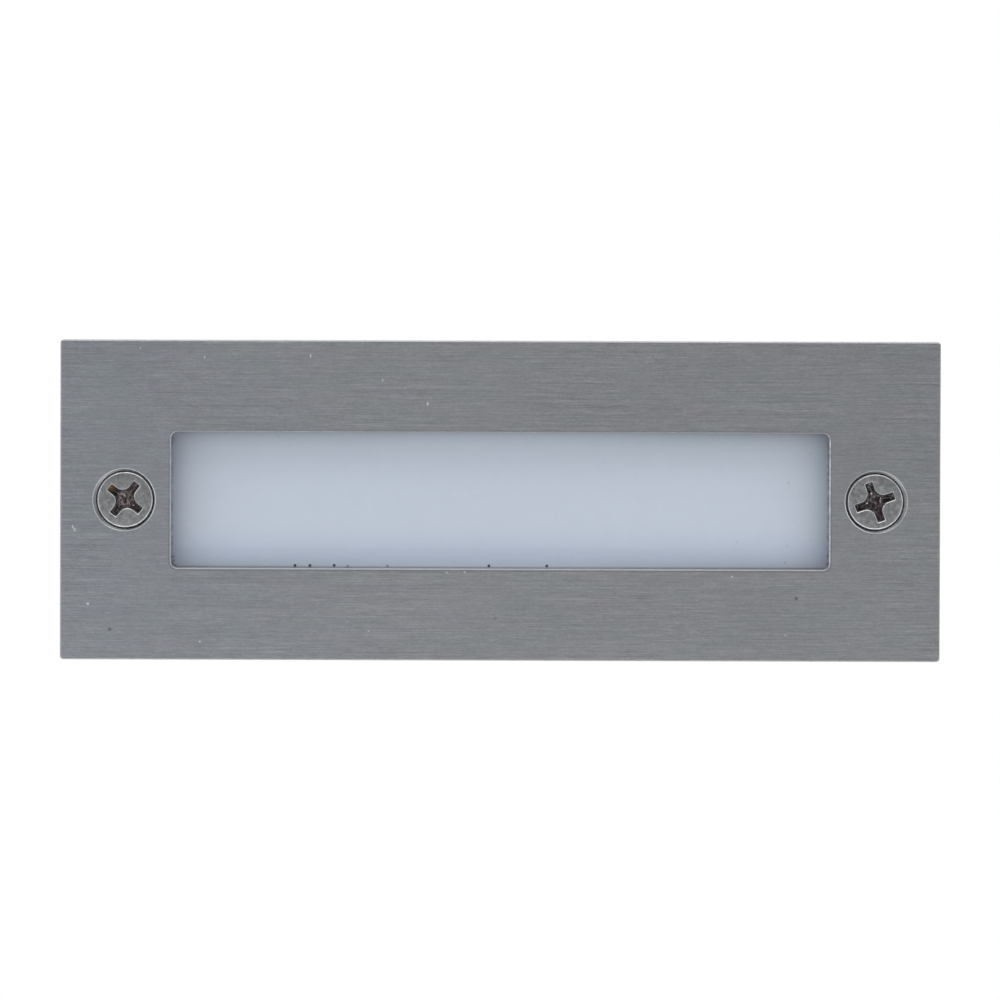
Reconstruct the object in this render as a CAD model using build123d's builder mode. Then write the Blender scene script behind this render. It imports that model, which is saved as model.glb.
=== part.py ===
from build123d import *
import os

os.makedirs("parts", exist_ok=True)

# Recessed step light with a 110 x 40 mm face. Millimetres.
# Frame: +X right, +Z up, the face looks along -Y and the wall lies on the +Y
# side. The origin is the centre of the wall box's rim, on the wall's surface.

# ---- driving dimensions ---------------------------------------------------
# faceplate
FACE_L, FACE_H, FACE_T = 110.0, 40.0, 3.0
FACE_BACK = -2.0                      # depth of the plate's back
FACE_FRONT = FACE_BACK - FACE_T       # depth of the plate's front
FACE_CORNER, FACE_EDGE = 0.45, 0.15
WINDOW_L, WINDOW_H, WINDOW_R, WINDOW_EDGE = 82.3, 17.0, 0.8, 0.15
MOUTH_X, MOUTH_DEPTH = 47.02, 0.25    # the holes' chamfered mouths sit a little further out
MOUTH_R, SINK_R, SHANK_HOLE_R = 3.9, 3.68, 2.25
SINK_SEAT = FACE_FRONT + 0.64         # depth where the 90 degree seat starts

# M4 countersunk face screws with a cross recess
SCREW_X = 46.9
SCREW_HEAD_R, SCREW_R = 3.49, 1.975
SCREW_TOP = FACE_FRONT + 0.08
SCREW_RIM = FACE_FRONT + 0.75
SCREW_TIP = SCREW_TOP + 20.0
CROSS_REACH, CROSS_HALF, CROSS_ROUND = 2.46, 0.46, 1.15
CROSS_DEPTH = 1.7
CROSS_TURN_LEFT, CROSS_TURN_RIGHT = 52.5, 19.0

# wall box
BOX_L, BOX_H, BOX_DEEP, BOX_WALL, BOX_BACK = 106.0, 36.0, 56.0, 1.5, 2.0
RIM_L, RIM_H, RIM_T = 108.0, 38.0, 1.2
BOSS_FRONT, BOSS_R = 10.8, 4.6
INSERT_R, INSERT_BORE_R, INSERT_L = 2.8, 2.025, 8.0
ENTRY_R, GROMMET_BORE_R = 8.0, 3.5
FIX_X, FIX_R = 30.0, 2.25

# gasket behind the faceplate
GASKET_L, GASKET_H, GASKET_OPEN_L, GASKET_OPEN_H = 107.0, 37.0, 103.4, 33.4

# lamp body
BODY_L, BODY_H, BODY_BACK = 102.2, 32.2, 3.5
CHAMBER_L, CHAMBER_H = 83.8, 20.4
INNER_L, INNER_H = 80.8, 16.0
POCKET_L, POCKET_H, POCKET_BACK = 85.0, 19.8, 1.8
FLOOR_FRONT, FLOOR_BACK, CHAMBER_BACK = 14.0, 16.0, 30.0
TUNNEL_R, TUNNEL_BORE_R, TUNNEL_STEP, TUNNEL_END = 4.2, 3.3, 9.0, 10.5
STUD_X, STUD_Z, STUD_R, STUD_END = 32.0, 13.2, 1.25, 6.8
COVER_SCREW_X, COVER_SCREW_Z = 38.0, 5.6
POST_X = 30.5

# lens and its seal
LENS_L, LENS_H, LENS_T = 84.6, 19.4, 3.0
SEAL_L, SEAL_H, SEAL_T = 84.8, 19.6, 0.8

# LED board
BOARD_L, BOARD_H, BOARD_T, BOARD_FRONT = 78.0, 10.0, 1.6, 11.9
LED_PITCH, LED_COUNT = 10.0, 7
BOARD_SCREW_X, PEG_X = 15.0, 36.2
LEAD_R, LEAD_Z_PAD, LEAD_Z_HOLE = 0.5, 4.45, 6.6
LEAD_RED_X, LEAD_BLACK_X = -25.0, -22.0

# driver board
DRIVER_L, DRIVER_H, DRIVER_T, DRIVER_FRONT = 68.0, 14.4, 1.6, 19.0
DRIVER_BACK = DRIVER_FRONT + DRIVER_T

# rear cover and cable gland
COVER_GASKET_T, COVER_T = 0.8, 2.0
COVER_FRONT = CHAMBER_BACK + COVER_GASKET_T
COVER_BACK = COVER_FRONT + COVER_T
GLAND_THREAD_R, GLAND_NUT_BORE_R, GLAND_FLATS = 5.95, 6.03, 15.0
SEAL_BORE_R = 3.25


def across(y):
    """Plane at depth y that faces the viewer: local x is X, local y is Z."""
    return Plane(origin=(0, y, 0), x_dir=(1, 0, 0), z_dir=(0, -1, 0))


def turning(x, z=0.0):
    """Plane for profiles turned about a line along Y: local x is the radius, local y the depth."""
    return Plane(origin=(x, 0, z), x_dir=(1, 0, 0), z_dir=(0, 0, 1))


def line_along_y(x, z=0.0):
    return Axis((x, 0, z), (0, 1, 0))


# ---- wall box: moulded, mortared into the wall -----------------------------
with BuildPart() as recess_box:
    with BuildSketch(across(BOX_DEEP)):
        RectangleRounded(BOX_L, BOX_H, 2.0)
    extrude(amount=BOX_DEEP)
    fillet(recess_box.faces().sort_by(Axis.Y)[-1].edges(), radius=1.0)
    # rim that rests on the wall's surface
    with BuildSketch(across(0)):
        RectangleRounded(RIM_L, RIM_H, 2.4)
    extrude(amount=RIM_T)
    # two ribs round the outside that key into the mortar
    for rib_y in (13.2, 43.2):
        with BuildSketch(across(rib_y)):
            RectangleRounded(BOX_L + 1.6, BOX_H + 1.6, 2.6)
        extrude(amount=1.2)
    # stiffening ribs along the outside, between those two
    with BuildSketch(across(42.4)):
        with Locations((-40, 0), (-8, 0), (8, 0), (40, 0)):
            Rectangle(1.2, BOX_H + 1.4)
        with Locations((0, -8), (0, 8)):
            Rectangle(BOX_L + 1.4, 1.2)
    extrude(amount=29.6)
    with BuildSketch(across(BOX_DEEP - BOX_BACK)):
        RectangleRounded(BOX_L - 2 * BOX_WALL, BOX_H - 2 * BOX_WALL, 1.0)
    extrude(amount=BOX_DEEP - BOX_BACK + RIM_T, mode=Mode.SUBTRACT)
    # bosses for the face screws, joined to the end walls
    with BuildSketch(across(BOX_DEEP - BOX_BACK + 0.5)):
        with Locations((-SCREW_X, 0), (SCREW_X, 0)):
            Circle(BOSS_R)
        with Locations((-49.45, 0), (49.45, 0)):
            Rectangle(5.1, 2 * BOSS_R)
    extrude(amount=BOX_DEEP - BOX_BACK + 0.5 - BOSS_FRONT)
    with BuildSketch(across(BOSS_FRONT + INSERT_L)):
        with Locations((-SCREW_X, 0), (SCREW_X, 0)):
            Circle(INSERT_R + 0.03)
    extrude(amount=INSERT_L, mode=Mode.SUBTRACT)
    with BuildSketch(across(25.0)):
        with Locations((-SCREW_X, 0), (SCREW_X, 0)):
            Circle(2.1)
    extrude(amount=25.0 - BOSS_FRONT - INSERT_L, mode=Mode.SUBTRACT)
    # cable entry and two fixing holes in the back wall
    with BuildSketch(across(BOX_DEEP)):
        Circle(ENTRY_R)
        with Locations((-FIX_X, 0), (FIX_X, 0)):
            Circle(FIX_R)
    extrude(amount=BOX_BACK, mode=Mode.SUBTRACT)
    # thin ring grooves that mark the knock-outs in the top and bottom walls
    for side in (-1, 1):
        with BuildSketch(Plane(origin=(0, 27, side * BOX_H / 2), x_dir=(1, 0, 0), z_dir=(0, 0, side))):
            with Locations((-24, 0), (24, 0)):
                Circle(8.0)
                Circle(7.2, mode=Mode.SUBTRACT)
        extrude(amount=-0.9, mode=Mode.SUBTRACT)
recess_box.part.label = "recess_box"
export_step(recess_box.part, "parts/recess_box.step")

# ---- brass inserts pressed into the two bosses ------------------------------
with BuildPart() as thread_inserts:
    for x in (-SCREW_X, SCREW_X):
        with BuildSketch(turning(x)):
            with BuildLine():
                Polyline(
                    (INSERT_BORE_R + 0.25, BOSS_FRONT),
                    (INSERT_R - 0.15, BOSS_FRONT),
                    (INSERT_R, BOSS_FRONT + 0.15),
                    (INSERT_R, BOSS_FRONT + 3.2),
                    (INSERT_R - 0.25, BOSS_FRONT + 3.6),
                    (INSERT_R - 0.25, BOSS_FRONT + 4.6),
                    (INSERT_R, BOSS_FRONT + 5.0),
                    (INSERT_R, BOSS_FRONT + INSERT_L - 0.3),
                    (INSERT_R - 0.3, BOSS_FRONT + INSERT_L),
                    (INSERT_BORE_R, BOSS_FRONT + INSERT_L),
                    (INSERT_BORE_R, BOSS_FRONT + 0.25),
                    close=True,
                )
            make_face()
        revolve(axis=line_along_y(x))
thread_inserts.part.label = "thread_inserts"
export_step(thread_inserts.part, "parts/thread_inserts.step")

# ---- rubber grommet in the box's back wall ----------------------------------
with BuildPart() as box_grommet:
    with BuildSketch(turning(0)):
        with BuildLine():
            Polyline(
                (GROMMET_BORE_R, 52.4),
                (9.2, 52.4),
                (9.5, 52.7),
                (9.5, 53.95),
                (7.95, 53.95),
                (7.95, 56.05),
                (9.5, 56.05),
                (9.5, 56.7),
                (8.6, 57.6),
                (GROMMET_BORE_R, 57.6),
                close=True,
            )
        make_face()
    revolve(axis=line_along_y(0))
box_grommet.part.label = "box_grommet"
export_step(box_grommet.part, "parts/box_grommet.step")

# ---- gasket between the faceplate and the box's rim -------------------------
with BuildPart() as face_gasket:
    with BuildSketch(across(-RIM_T)):
        RectangleRounded(GASKET_L, GASKET_H, 2.0)
        RectangleRounded(GASKET_OPEN_L, GASKET_OPEN_H, 1.4, mode=Mode.SUBTRACT)
    extrude(amount=-RIM_T - FACE_BACK)
face_gasket.part.label = "face_gasket"
export_step(face_gasket.part, "parts/face_gasket.step")

# ---- faceplate: flat plate with a window and two countersunk holes ----------
with BuildPart() as faceplate:
    with BuildSketch(across(FACE_BACK)):
        RectangleRounded(FACE_L, FACE_H, FACE_CORNER)
        RectangleRounded(WINDOW_L, WINDOW_H, WINDOW_R, mode=Mode.SUBTRACT)
    extrude(amount=FACE_T)
    front = faceplate.faces().sort_by(Axis.Y)[0]
    chamfer(front.outer_wire().edges(), length=FACE_EDGE)
    front = faceplate.faces().sort_by(Axis.Y)[0]
    chamfer(front.inner_wires()[0].edges(), length=WINDOW_EDGE)
    for side in (-1, 1):
        with BuildSketch(turning(side * SCREW_X)):
            with BuildLine():
                Polyline(
                    (0, FACE_FRONT - 0.1),
                    (SINK_R, FACE_FRONT - 0.1),
                    (SINK_R, SINK_SEAT),
                    (SHANK_HOLE_R, SINK_SEAT + SINK_R - SHANK_HOLE_R),
                    (SHANK_HOLE_R, FACE_BACK + 0.1),
                    (0, FACE_BACK + 0.1),
                    close=True,
                )
            make_face()
        revolve(axis=line_along_y(side * SCREW_X), mode=Mode.SUBTRACT)
        with BuildSketch(across(FACE_FRONT + MOUTH_DEPTH)):
            with Locations((side * SCREW_X, 0)):
                Circle(SINK_R)
        with BuildSketch(across(FACE_FRONT)):
            with Locations((side * MOUTH_X, 0)):
                Circle(MOUTH_R)
        loft(mode=Mode.SUBTRACT)
faceplate.part.label = "faceplate"
export_step(faceplate.part, "parts/faceplate.step")

# ---- studs on the faceplate's back, with their washers and nuts -------------
STUDS = [(-STUD_X, -STUD_Z), (STUD_X, -STUD_Z), (-STUD_X, STUD_Z), (STUD_X, STUD_Z)]

with BuildPart() as weld_studs:
    for x, z in STUDS:
        with BuildSketch(turning(x, z)):
            with BuildLine():
                Polyline(
                    (0, FACE_BACK),
                    (1.6, FACE_BACK),
                    (1.6, FACE_BACK + 0.2),
                    (STUD_R, FACE_BACK + 0.5),
                    (STUD_R, STUD_END - 0.3),
                    (STUD_R - 0.3, STUD_END),
                    (0, STUD_END),
                    close=True,
                )
            make_face()
        revolve(axis=line_along_y(x, z))
weld_studs.part.label = "weld_studs"
export_step(weld_studs.part, "parts/weld_studs.step")

with BuildPart() as stud_washers:
    with BuildSketch(across(BODY_BACK + 0.5)):
        with Locations(*STUDS):
            Circle(2.6)
            Circle(1.4, mode=Mode.SUBTRACT)
    extrude(amount=0.5)
stud_washers.part.label = "stud_washers"
export_step(stud_washers.part, "parts/stud_washers.step")

with BuildPart() as stud_nuts:
    with BuildSketch(across(BODY_BACK + 2.5)):
        with Locations(*STUDS):
            RegularPolygon(2.5, 6, major_radius=False)
            Circle(STUD_R + 0.04, mode=Mode.SUBTRACT)
    extrude(amount=2.0)
stud_nuts.part.label = "stud_nuts"
export_step(stud_nuts.part, "parts/stud_nuts.step")

# ---- frosted lens and the seal behind it ------------------------------------
with BuildPart() as lens:
    with BuildSketch(across(FACE_BACK + LENS_T)):
        RectangleRounded(LENS_L, LENS_H, 1.0)
    extrude(amount=LENS_T)
lens.part.label = "lens"
export_step(lens.part, "parts/lens.step")

with BuildPart() as lens_seal:
    with BuildSketch(across(POCKET_BACK)):
        RectangleRounded(SEAL_L, SEAL_H, 1.1)
        RectangleRounded(INNER_L, INNER_H, 0.6, mode=Mode.SUBTRACT)
    extrude(amount=SEAL_T)
lens_seal.part.label = "lens_seal"
export_step(lens_seal.part, "parts/lens_seal.step")

# ---- lamp body: cast housing ------------------------------------------------
COVER_SCREWS = [
    (-COVER_SCREW_X, -COVER_SCREW_Z),
    (COVER_SCREW_X, -COVER_SCREW_Z),
    (-COVER_SCREW_X, COVER_SCREW_Z),
    (COVER_SCREW_X, COVER_SCREW_Z),
]
LEAD_HOLES = [(LEAD_RED_X, LEAD_Z_HOLE), (LEAD_BLACK_X, LEAD_Z_HOLE)]

with BuildPart() as lamp_body:
    # flange behind the faceplate
    with BuildSketch(across(BODY_BACK)):
        RectangleRounded(BODY_L, BODY_H, 1.6)
    extrude(amount=BODY_BACK - FACE_BACK)
    # chamber walls
    with BuildSketch(across(CHAMBER_BACK)):
        RectangleRounded(CHAMBER_L, CHAMBER_H, 1.5)
    extrude(amount=CHAMBER_BACK - BODY_BACK + 0.5)
    # tunnels for the face screws, each with a web to the chamber
    with BuildSketch(across(TUNNEL_END)):
        with Locations((-SCREW_X, 0), (SCREW_X, 0)):
            Circle(TUNNEL_R)
        with Locations((-43.7, 0), (43.7, 0)):
            Rectangle(6.4, 4.0)
    extrude(amount=TUNNEL_END - BODY_BACK + 0.5)
    # hollow: lens pocket, LED space, driver space
    with BuildSketch(across(POCKET_BACK)):
        RectangleRounded(POCKET_L, POCKET_H, 1.2)
    extrude(amount=POCKET_BACK - FACE_BACK, mode=Mode.SUBTRACT)
    with BuildSketch(across(FLOOR_FRONT)):
        RectangleRounded(INNER_L, INNER_H, 0.6)
    extrude(amount=FLOOR_FRONT - POCKET_BACK, mode=Mode.SUBTRACT)
    with BuildSketch(across(CHAMBER_BACK)):
        RectangleRounded(INNER_L, INNER_H, 0.6)
    extrude(amount=CHAMBER_BACK - FLOOR_BACK, mode=Mode.SUBTRACT)
    # corner bosses for the rear cover, posts for the driver board
    with BuildSketch(across(CHAMBER_BACK)):
        with Locations(*COVER_SCREWS):
            Circle(2.5)
    extrude(amount=CHAMBER_BACK - FLOOR_BACK + 0.5)
    with BuildSketch(across(DRIVER_FRONT)):
        with Locations((-POST_X, 0), (POST_X, 0)):
            Circle(2.5)
    extrude(amount=DRIVER_FRONT - FLOOR_BACK + 0.5)
    # cored pockets in the flange's back
    with BuildSketch(across(BODY_BACK)):
        with Locations((-14.5, 13.2), (14.5, 13.2), (-14.5, -13.2), (14.5, -13.2)):
            RectangleRounded(25.0, 3.4, 0.8)
        with Locations((-44.5, 11.0), (44.5, 11.0), (-44.5, -11.0), (44.5, -11.0)):
            RectangleRounded(3.6, 6.4, 0.8)
    extrude(amount=3.0, mode=Mode.SUBTRACT)
    # tunnel bores
    with BuildSketch(across(TUNNEL_STEP)):
        with Locations((-SCREW_X, 0), (SCREW_X, 0)):
            Circle(TUNNEL_BORE_R)
    extrude(amount=TUNNEL_STEP - FACE_BACK, mode=Mode.SUBTRACT)
    with BuildSketch(across(TUNNEL_END)):
        with Locations((-SCREW_X, 0), (SCREW_X, 0)):
            Circle(2.15)
    extrude(amount=TUNNEL_END - TUNNEL_STEP, mode=Mode.SUBTRACT)
    # stud holes, wider at the front for the weld
    with BuildSketch(across(BODY_BACK)):
        with Locations(*STUDS):
            Circle(1.45)
    extrude(amount=BODY_BACK - FACE_BACK, mode=Mode.SUBTRACT)
    with BuildSketch(across(FACE_BACK + 0.7)):
        with Locations(*STUDS):
            Circle(1.9)
    extrude(amount=0.7, mode=Mode.SUBTRACT)
    # floor holes: LED board screws and the two leads
    with BuildSketch(across(FLOOR_BACK)):
        with Locations((-BOARD_SCREW_X, 0), (BOARD_SCREW_X, 0)):
            Circle(1.0)
        with Locations(*LEAD_HOLES):
            Circle(0.9)
    extrude(amount=FLOOR_BACK - FLOOR_FRONT, mode=Mode.SUBTRACT)
    # screw holes in the posts and the corner bosses
    with BuildSketch(across(DRIVER_FRONT)):
        with Locations((-POST_X, 0), (POST_X, 0)):
            Circle(1.0)
    extrude(amount=2.4, mode=Mode.SUBTRACT)
    with BuildSketch(across(CHAMBER_BACK)):
        with Locations(*COVER_SCREWS):
            Circle(1.25)
    extrude(amount=8.0, mode=Mode.SUBTRACT)
lamp_body.part.label = "lamp_body"
export_step(lamp_body.part, "parts/lamp_body.step")

# ---- reflector trough --------------------------------------------------------
LED_SPOTS = [((i - (LED_COUNT - 1) / 2) * LED_PITCH, 0) for i in range(LED_COUNT)]

with BuildPart() as reflector:
    with BuildSketch(across(1.9)):
        RectangleRounded(80.4, 15.6, 0.5)
    extrude(amount=0.8)
    with BuildSketch(across(11.6)):
        RectangleRounded(75.8, 6.2, 0.5)
    with BuildSketch(across(1.1)):
        RectangleRounded(80.2, 15.4, 0.5)
    loft()
    with BuildSketch(across(10.9)):
        RectangleRounded(74.4, 5.0, 0.5)
    with BuildSketch(across(1.1)):
        RectangleRounded(79.0, 14.2, 0.5)
    loft(mode=Mode.SUBTRACT)
    with BuildSketch(across(11.6)):
        with Locations(*LED_SPOTS):
            RectangleRounded(4.4, 3.6, 0.3)
        with Locations((-BOARD_SCREW_X, 0), (BOARD_SCREW_X, 0)):
            Circle(2.1)
    extrude(amount=0.9, mode=Mode.SUBTRACT)
    # locating pegs
    with BuildSketch(across(13.0)):
        with Locations((-PEG_X, 0), (PEG_X, 0)):
            Circle(0.8)
    extrude(amount=1.8)
reflector.part.label = "reflector"
export_step(reflector.part, "parts/reflector.step")

# ---- LED board, LEDs, thermal pad and screws ---------------------------------
with BuildPart() as led_board:
    with BuildSketch(across(BOARD_FRONT + BOARD_T)):
        RectangleRounded(BOARD_L, BOARD_H, 0.8)
        with Locations((-BOARD_SCREW_X, 0), (BOARD_SCREW_X, 0)):
            Circle(1.2, mode=Mode.SUBTRACT)
        with Locations((-PEG_X, 0), (PEG_X, 0)):
            Circle(0.95, mode=Mode.SUBTRACT)
    extrude(amount=BOARD_T)
led_board.part.label = "led_board"
export_step(led_board.part, "parts/led_board.step")

with BuildPart() as leds:
    with BuildSketch(across(BOARD_FRONT)):
        with Locations(*LED_SPOTS):
            Rectangle(3.5, 2.8)
    extrude(amount=0.7)
    # phosphor well in each package
    with BuildSketch(across(BOARD_FRONT - 0.55)):
        with Locations(*LED_SPOTS):
            RectangleRounded(2.7, 2.0, 0.4)
    extrude(amount=0.15, mode=Mode.SUBTRACT)
leds.part.label = "leds"
export_step(leds.part, "parts/leds.step")

with BuildPart() as thermal_pad:
    with BuildSketch(across(FLOOR_FRONT)):
        Rectangle(76.0, 9.0)
        with Locations((-BOARD_SCREW_X, 0), (BOARD_SCREW_X, 0)):
            Circle(1.3, mode=Mode.SUBTRACT)
    extrude(amount=FLOOR_FRONT - BOARD_FRONT - BOARD_T)
thermal_pad.part.label = "thermal_pad"
export_step(thermal_pad.part, "parts/thermal_pad.step")

with BuildPart() as board_screws:
    for x in (-BOARD_SCREW_X, BOARD_SCREW_X):
        with BuildSketch(turning(x)):
            with BuildLine():
                Polyline(
                    (0, BOARD_FRONT - 1.3),
                    (1.2, BOARD_FRONT - 1.3),
                    (1.7, BOARD_FRONT - 0.8),
                    (1.7, BOARD_FRONT),
                    (0.95, BOARD_FRONT),
                    (0.95, FLOOR_BACK - 0.3),
                    (0.7, FLOOR_BACK),
                    (0, FLOOR_BACK),
                    close=True,
                )
            make_face()
        revolve(axis=line_along_y(x))
    with BuildSketch(across(BOARD_FRONT - 0.5)):
        with Locations((-BOARD_SCREW_X, 0), (BOARD_SCREW_X, 0)):
            Rectangle(2.0, 0.45)
            Rectangle(0.45, 2.0)
    extrude(amount=0.8, mode=Mode.SUBTRACT)
board_screws.part.label = "board_screws"
export_step(board_screws.part, "parts/board_screws.step")

# ---- leads from the driver board, through the floor, to the LED board --------
with BuildPart() as led_lead_red:
    with BuildLine(Plane.XY):
        FilletPolyline(
            (LEAD_RED_X, BOARD_FRONT, LEAD_Z_PAD),
            (LEAD_RED_X, BOARD_FRONT - 0.95, LEAD_Z_PAD),
            (LEAD_RED_X, BOARD_FRONT - 0.95, LEAD_Z_HOLE),
            (LEAD_RED_X, DRIVER_FRONT, LEAD_Z_HOLE),
            radius=0.8,
        )
    with BuildSketch(Plane(origin=(LEAD_RED_X, BOARD_FRONT, LEAD_Z_PAD), x_dir=(1, 0, 0), z_dir=(0, -1, 0))):
        Circle(LEAD_R)
    sweep()
led_lead_red.part.label = "led_lead_red"
export_step(led_lead_red.part, "parts/led_lead_red.step")

with BuildPart() as led_lead_black:
    with BuildLine(Plane.XY):
        FilletPolyline(
            (LEAD_BLACK_X, BOARD_FRONT, LEAD_Z_PAD),
            (LEAD_BLACK_X, BOARD_FRONT - 0.95, LEAD_Z_PAD),
            (LEAD_BLACK_X, BOARD_FRONT - 0.95, LEAD_Z_HOLE),
            (LEAD_BLACK_X, DRIVER_FRONT, LEAD_Z_HOLE),
            radius=0.8,
        )
    with BuildSketch(Plane(origin=(LEAD_BLACK_X, BOARD_FRONT, LEAD_Z_PAD), x_dir=(1, 0, 0), z_dir=(0, -1, 0))):
        Circle(LEAD_R)
    sweep()
led_lead_black.part.label = "led_lead_black"
export_step(led_lead_black.part, "parts/led_lead_black.step")

# ---- driver -------------------------------------------------------------------
with BuildPart() as driver_board:
    with BuildSketch(across(DRIVER_BACK)):
        RectangleRounded(DRIVER_L, DRIVER_H, 0.8)
        with Locations((-POST_X, 0), (POST_X, 0)):
            Circle(1.2, mode=Mode.SUBTRACT)
    extrude(amount=DRIVER_T)
driver_board.part.label = "driver_board"
export_step(driver_board.part, "parts/driver_board.step")

# wound transformer: bobbin base, winding, core
with BuildPart() as driver_transformer:
    with BuildSketch(across(DRIVER_BACK + 1.0)):
        with Locations((-17.5, 0)):
            RectangleRounded(14.0, 13.0, 0.6)
    extrude(amount=1.0)
    with BuildSketch(across(DRIVER_BACK + 6.6)):
        with Locations((-17.5, 0)):
            RectangleRounded(9.0, 12.2, 2.6)
    extrude(amount=5.8)
    with BuildSketch(across(DRIVER_BACK + 7.4)):
        with Locations((-17.5, 0)):
            RectangleRounded(13.0, 6.2, 0.4)
    extrude(amount=6.6)
driver_transformer.part.label = "driver_transformer"
export_step(driver_transformer.part, "parts/driver_transformer.step")

with BuildPart() as driver_capacitors:
    for z in (-3.55, 3.55):
        with BuildSketch(turning(22.5, z)):
            with BuildLine():
                Polyline(
                    (0, DRIVER_BACK),
                    (2.9, DRIVER_BACK),
                    (3.1, DRIVER_BACK + 0.2),
                    (3.1, DRIVER_BACK + 1.0),
                    (2.85, DRIVER_BACK + 1.25),
                    (3.1, DRIVER_BACK + 1.5),
                    (3.1, DRIVER_BACK + 6.9),
                    (2.8, DRIVER_BACK + 7.2),
                    (0, DRIVER_BACK + 7.2),
                    close=True,
                )
            make_face()
        revolve(axis=line_along_y(22.5, z))
driver_capacitors.part.label = "driver_capacitors"
export_step(driver_capacitors.part, "parts/driver_capacitors.step")

# bridge, controller and choke
with BuildPart() as driver_chips:
    with BuildSketch(across(DRIVER_BACK + 1.6)):
        with Locations((-3.8, 3.8), (-3.8, -3.8)):
            Rectangle(4.8, 3.9)
    extrude(amount=1.6)
    with BuildSketch(across(DRIVER_BACK + 4.2)):
        with Locations((4.0, 0)):
            Circle(2.7)
    extrude(amount=4.2)
driver_chips.part.label = "driver_chips"
export_step(driver_chips.part, "parts/driver_chips.step")

# two-way screw terminal
with BuildPart() as driver_terminal:
    with BuildSketch(across(DRIVER_BACK + 7.6)):
        with Locations((13.0, 0)):
            Rectangle(7.0, 10.4)
    extrude(amount=7.6)
    with BuildSketch(across(DRIVER_BACK + 7.6)):
        with Locations((13.4, -2.6), (13.4, 2.6)):
            Circle(1.7)
    extrude(amount=3.0, mode=Mode.SUBTRACT)
    with BuildSketch(Plane(origin=(9.5, DRIVER_BACK + 2.6, 0), x_dir=(0, 1, 0), z_dir=(-1, 0, 0))):
        with Locations((0, -2.6), (0, 2.6)):
            Rectangle(2.8, 3.2)
    extrude(amount=-3.4, mode=Mode.SUBTRACT)
driver_terminal.part.label = "driver_terminal"
export_step(driver_terminal.part, "parts/driver_terminal.step")

with BuildPart() as driver_screws:
    for x in (-POST_X, POST_X):
        with BuildSketch(turning(x)):
            with BuildLine():
                Polyline(
                    (0, DRIVER_BACK + 1.3),
                    (1.3, DRIVER_BACK + 1.3),
                    (1.8, DRIVER_BACK + 0.8),
                    (1.8, DRIVER_BACK),
                    (0.95, DRIVER_BACK),
                    (0.95, DRIVER_FRONT - 1.9),
                    (0.7, DRIVER_FRONT - 2.2),
                    (0, DRIVER_FRONT - 2.2),
                    close=True,
                )
            make_face()
        revolve(axis=line_along_y(x))
    with BuildSketch(across(DRIVER_BACK + 1.3)):
        with Locations((-POST_X, 0), (POST_X, 0)):
            Rectangle(2.1, 0.45)
            Rectangle(0.45, 2.1)
    extrude(amount=0.8, mode=Mode.SUBTRACT)
driver_screws.part.label = "driver_screws"
export_step(driver_screws.part, "parts/driver_screws.step")

# ---- rear cover, its gasket and screws ------------------------------------------
with BuildPart() as rear_gasket:
    with BuildSketch(across(COVER_FRONT)):
        RectangleRounded(CHAMBER_L - 0.4, CHAMBER_H - 0.4, 1.3)
        RectangleRounded(69.0, 15.8, 1.0, mode=Mode.SUBTRACT)
        with Locations(*COVER_SCREWS):
            Circle(1.5, mode=Mode.SUBTRACT)
    extrude(amount=COVER_GASKET_T)
rear_gasket.part.label = "rear_gasket"
export_step(rear_gasket.part, "parts/rear_gasket.step")

with BuildPart() as rear_cover:
    with BuildSketch(across(COVER_BACK)):
        RectangleRounded(CHAMBER_L, CHAMBER_H, 1.5)
        Circle(6.15, mode=Mode.SUBTRACT)
        with Locations(*COVER_SCREWS):
            Circle(1.4, mode=Mode.SUBTRACT)
    extrude(amount=COVER_T)
    back = rear_cover.faces().sort_by(Axis.Y)[-1]
    chamfer(back.outer_wire().edges(), length=0.4)
rear_cover.part.label = "rear_cover"
export_step(rear_cover.part, "parts/rear_cover.step")

with BuildPart() as cover_screws:
    for x, z in COVER_SCREWS:
        with BuildSketch(turning(x, z)):
            with BuildLine():
                Polyline(
                    (0, COVER_BACK + 1.6),
                    (1.5, COVER_BACK + 1.6),
                    (2.2, COVER_BACK + 1.0),
                    (2.3, COVER_BACK + 0.6),
                    (2.3, COVER_BACK),
                    (1.2, COVER_BACK),
                    (1.2, 23.4),
                    (0.8, 23.0),
                    (0, 23.0),
                    close=True,
                )
            make_face()
        revolve(axis=line_along_y(x, z))
    with BuildSketch(across(COVER_BACK + 1.6)):
        with Locations(*COVER_SCREWS):
            Rectangle(2.5, 0.6)
            Rectangle(0.6, 2.5)
    extrude(amount=1.0, mode=Mode.SUBTRACT)
cover_screws.part.label = "cover_screws"
export_step(cover_screws.part, "parts/cover_screws.step")

# ---- cable gland in the rear cover ----------------------------------------------
with BuildPart() as gland_locknut:
    with BuildSketch(across(COVER_FRONT)):
        RegularPolygon(7.0, 6, major_radius=False)
        Circle(GLAND_NUT_BORE_R, mode=Mode.SUBTRACT)
    extrude(amount=2.5)
gland_locknut.part.label = "gland_locknut"
export_step(gland_locknut.part, "parts/gland_locknut.step")

with BuildPart() as gland_oring:
    with BuildSketch(turning(0)):
        with Locations((6.65, COVER_BACK + 0.5)):
            RectangleRounded(1.1, 1.0, 0.3)
    revolve(axis=line_along_y(0))
gland_oring.part.label = "gland_oring"
export_step(gland_oring.part, "parts/gland_oring.step")

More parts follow.
